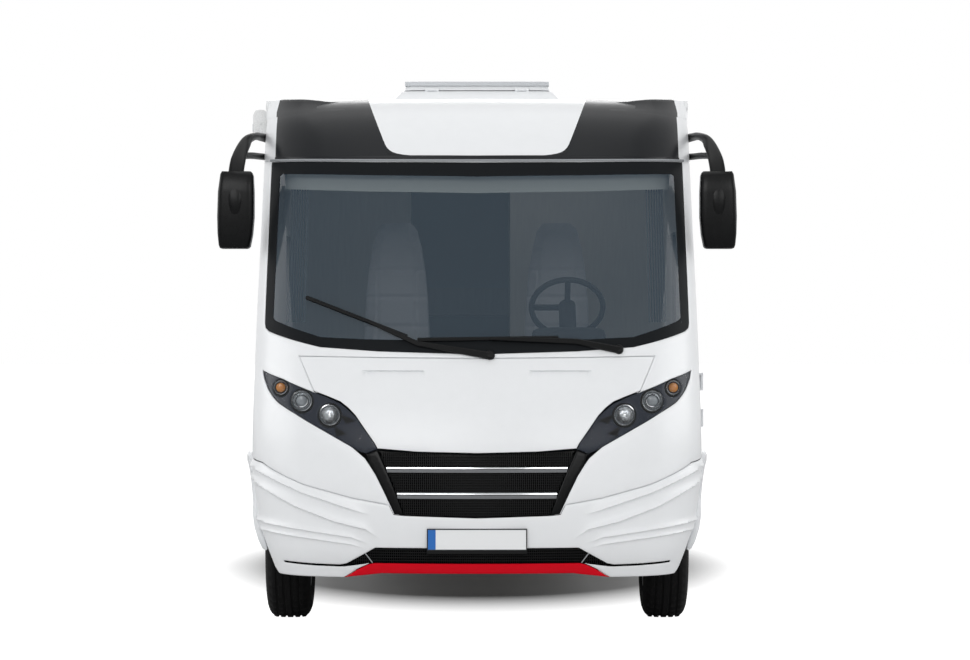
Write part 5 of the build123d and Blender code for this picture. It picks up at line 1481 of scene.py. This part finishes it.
        white = gelcoat("gelcoat_white", look().body_white)
        skin(
            "rear_moulding", both_rect(-880, 880, 800, 2570, 130), white, lift=15, relief=rear_relief,
            lines=[[(x, z) for x in range(-300, 301, 12)] for z in (1075, 925)], spacing=20, roll=26, drop=16,
            surface=behind, slot="white_gelcoat")
        forms = []
        for side in (1, -1):
            loop = both_rect(side * TAIL_LAMP_X - 80, side * TAIL_LAMP_X + 80, 724, 1414, 30)
            forms.append(([(x, wall_back + 3, z) for x, z in loop], [tuple(reversed(range(len(loop))))]))
            path = [(side * TAIL_LAMP_X + x, wall_back + 2, z) for x, z in both_rect(-80, 80, 724, 1414, 30)]
            forms.append(sweep(path, [(-4, -2), (4, -2), (3, 4), (-3, 4)], closed=True, up=(0, 1, 0)))
        piece("lamp_columns", *join(*forms), piano_black(), slot="black_abs")
        forms = [block((x - 32, wall_back + 14, 1078), (x + 32, wall_back + 30, 1096), 5) for x in (-130, 130)]
        rows = ((12, 120, 62, 3.4), (26, 112, 56, 3), (44, 80, 44, 2.6), (50, 40, 24, 2.2))
        path = [(0, wall_back + row[0], 2470) for row in rows]
        forms.append(sweep(path, [oval(w, h, 20, power) for _, w, h, power in rows], up=(0, 0, 1)))
        piece("plate_lamps_and_camera", *join(*forms), dark, slot="black_abs")
        bumper_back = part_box("rear_bumper")[1][1] * 1000
        low = sweep([(x, bumper_back - 3, 372) for x in (-1060, -1040, 1040, 1060)],
                    [oval(6, 30, 12, 3), oval(16, 62, 12, 3), oval(16, 62, 12, 3), oval(6, 30, 12, 3)])
        piece("rear_valance", *low, dark, slot="black_abs")
        disc = [(34, -2), (33, 4), (26, 7), (0, 8)]
        marks = [lathe(disc, (side * 820, bumper_back, 560), (0, 1, 0), 32) for side in (1, -1)]
        piece("rear_reflectors", *join(*marks), lens("acrylic_red", srgb(LAMP_RED), 1.0), slot="red_lens")


def sorted_box(a, b):
    """Lower and upper corner of a box from any two opposite ones."""
    return tuple(map(min, a, b)), tuple(map(max, a, b))


class MOTORHOME_PT_panel(bpy.types.Panel):
    """Lists the motorhome's pieces and sizes"""

    bl_idname = "MOTORHOME_PT_panel"
    bl_label = "Motorhome"
    bl_space_type = "VIEW_3D"
    bl_region_type = "UI"
    bl_category = "Motorhome"

    def draw(self, context):
        for name in MotorhomeLook.__annotations__:
            self.layout.prop(context.scene.motorhome, name)
        for step in STEPS:
            self.layout.operator(step.bl_idname)


STEPS = (
    MOTORHOME_OT_stage, MOTORHOME_OT_nose, MOTORHOME_OT_windscreen, MOTORHOME_OT_bonnet, MOTORHOME_OT_bumper,
    MOTORHOME_OT_grille, MOTORHOME_OT_headlamps, MOTORHOME_OT_roof_cap, MOTORHOME_OT_mirrors, MOTORHOME_OT_wipers,
    MOTORHOME_OT_cab, MOTORHOME_OT_wheels, MOTORHOME_OT_body,
)
CLASSES = (MotorhomeLook, *STEPS, MOTORHOME_PT_panel)


def register():
    for cls in CLASSES:
        bpy.utils.register_class(cls)
    bpy.types.Scene.motorhome = bpy.props.PointerProperty(type=MotorhomeLook)


def unregister():
    del bpy.types.Scene.motorhome
    for cls in reversed(CLASSES):
        bpy.utils.unregister_class(cls)


def main():
    register()
    bpy.ops.motorhome.stage()
    bpy.ops.motorhome.nose()
    bpy.ops.motorhome.windscreen()
    bpy.ops.motorhome.bonnet()
    bpy.ops.motorhome.bumper()
    bpy.ops.motorhome.grille()
    bpy.ops.motorhome.headlamps()
    bpy.ops.motorhome.roof_cap()
    bpy.ops.motorhome.mirrors()
    bpy.ops.motorhome.wipers()
    bpy.ops.motorhome.cab()
    bpy.ops.motorhome.wheels()
    bpy.ops.motorhome.body()


if __name__ == "__main__":
    main()
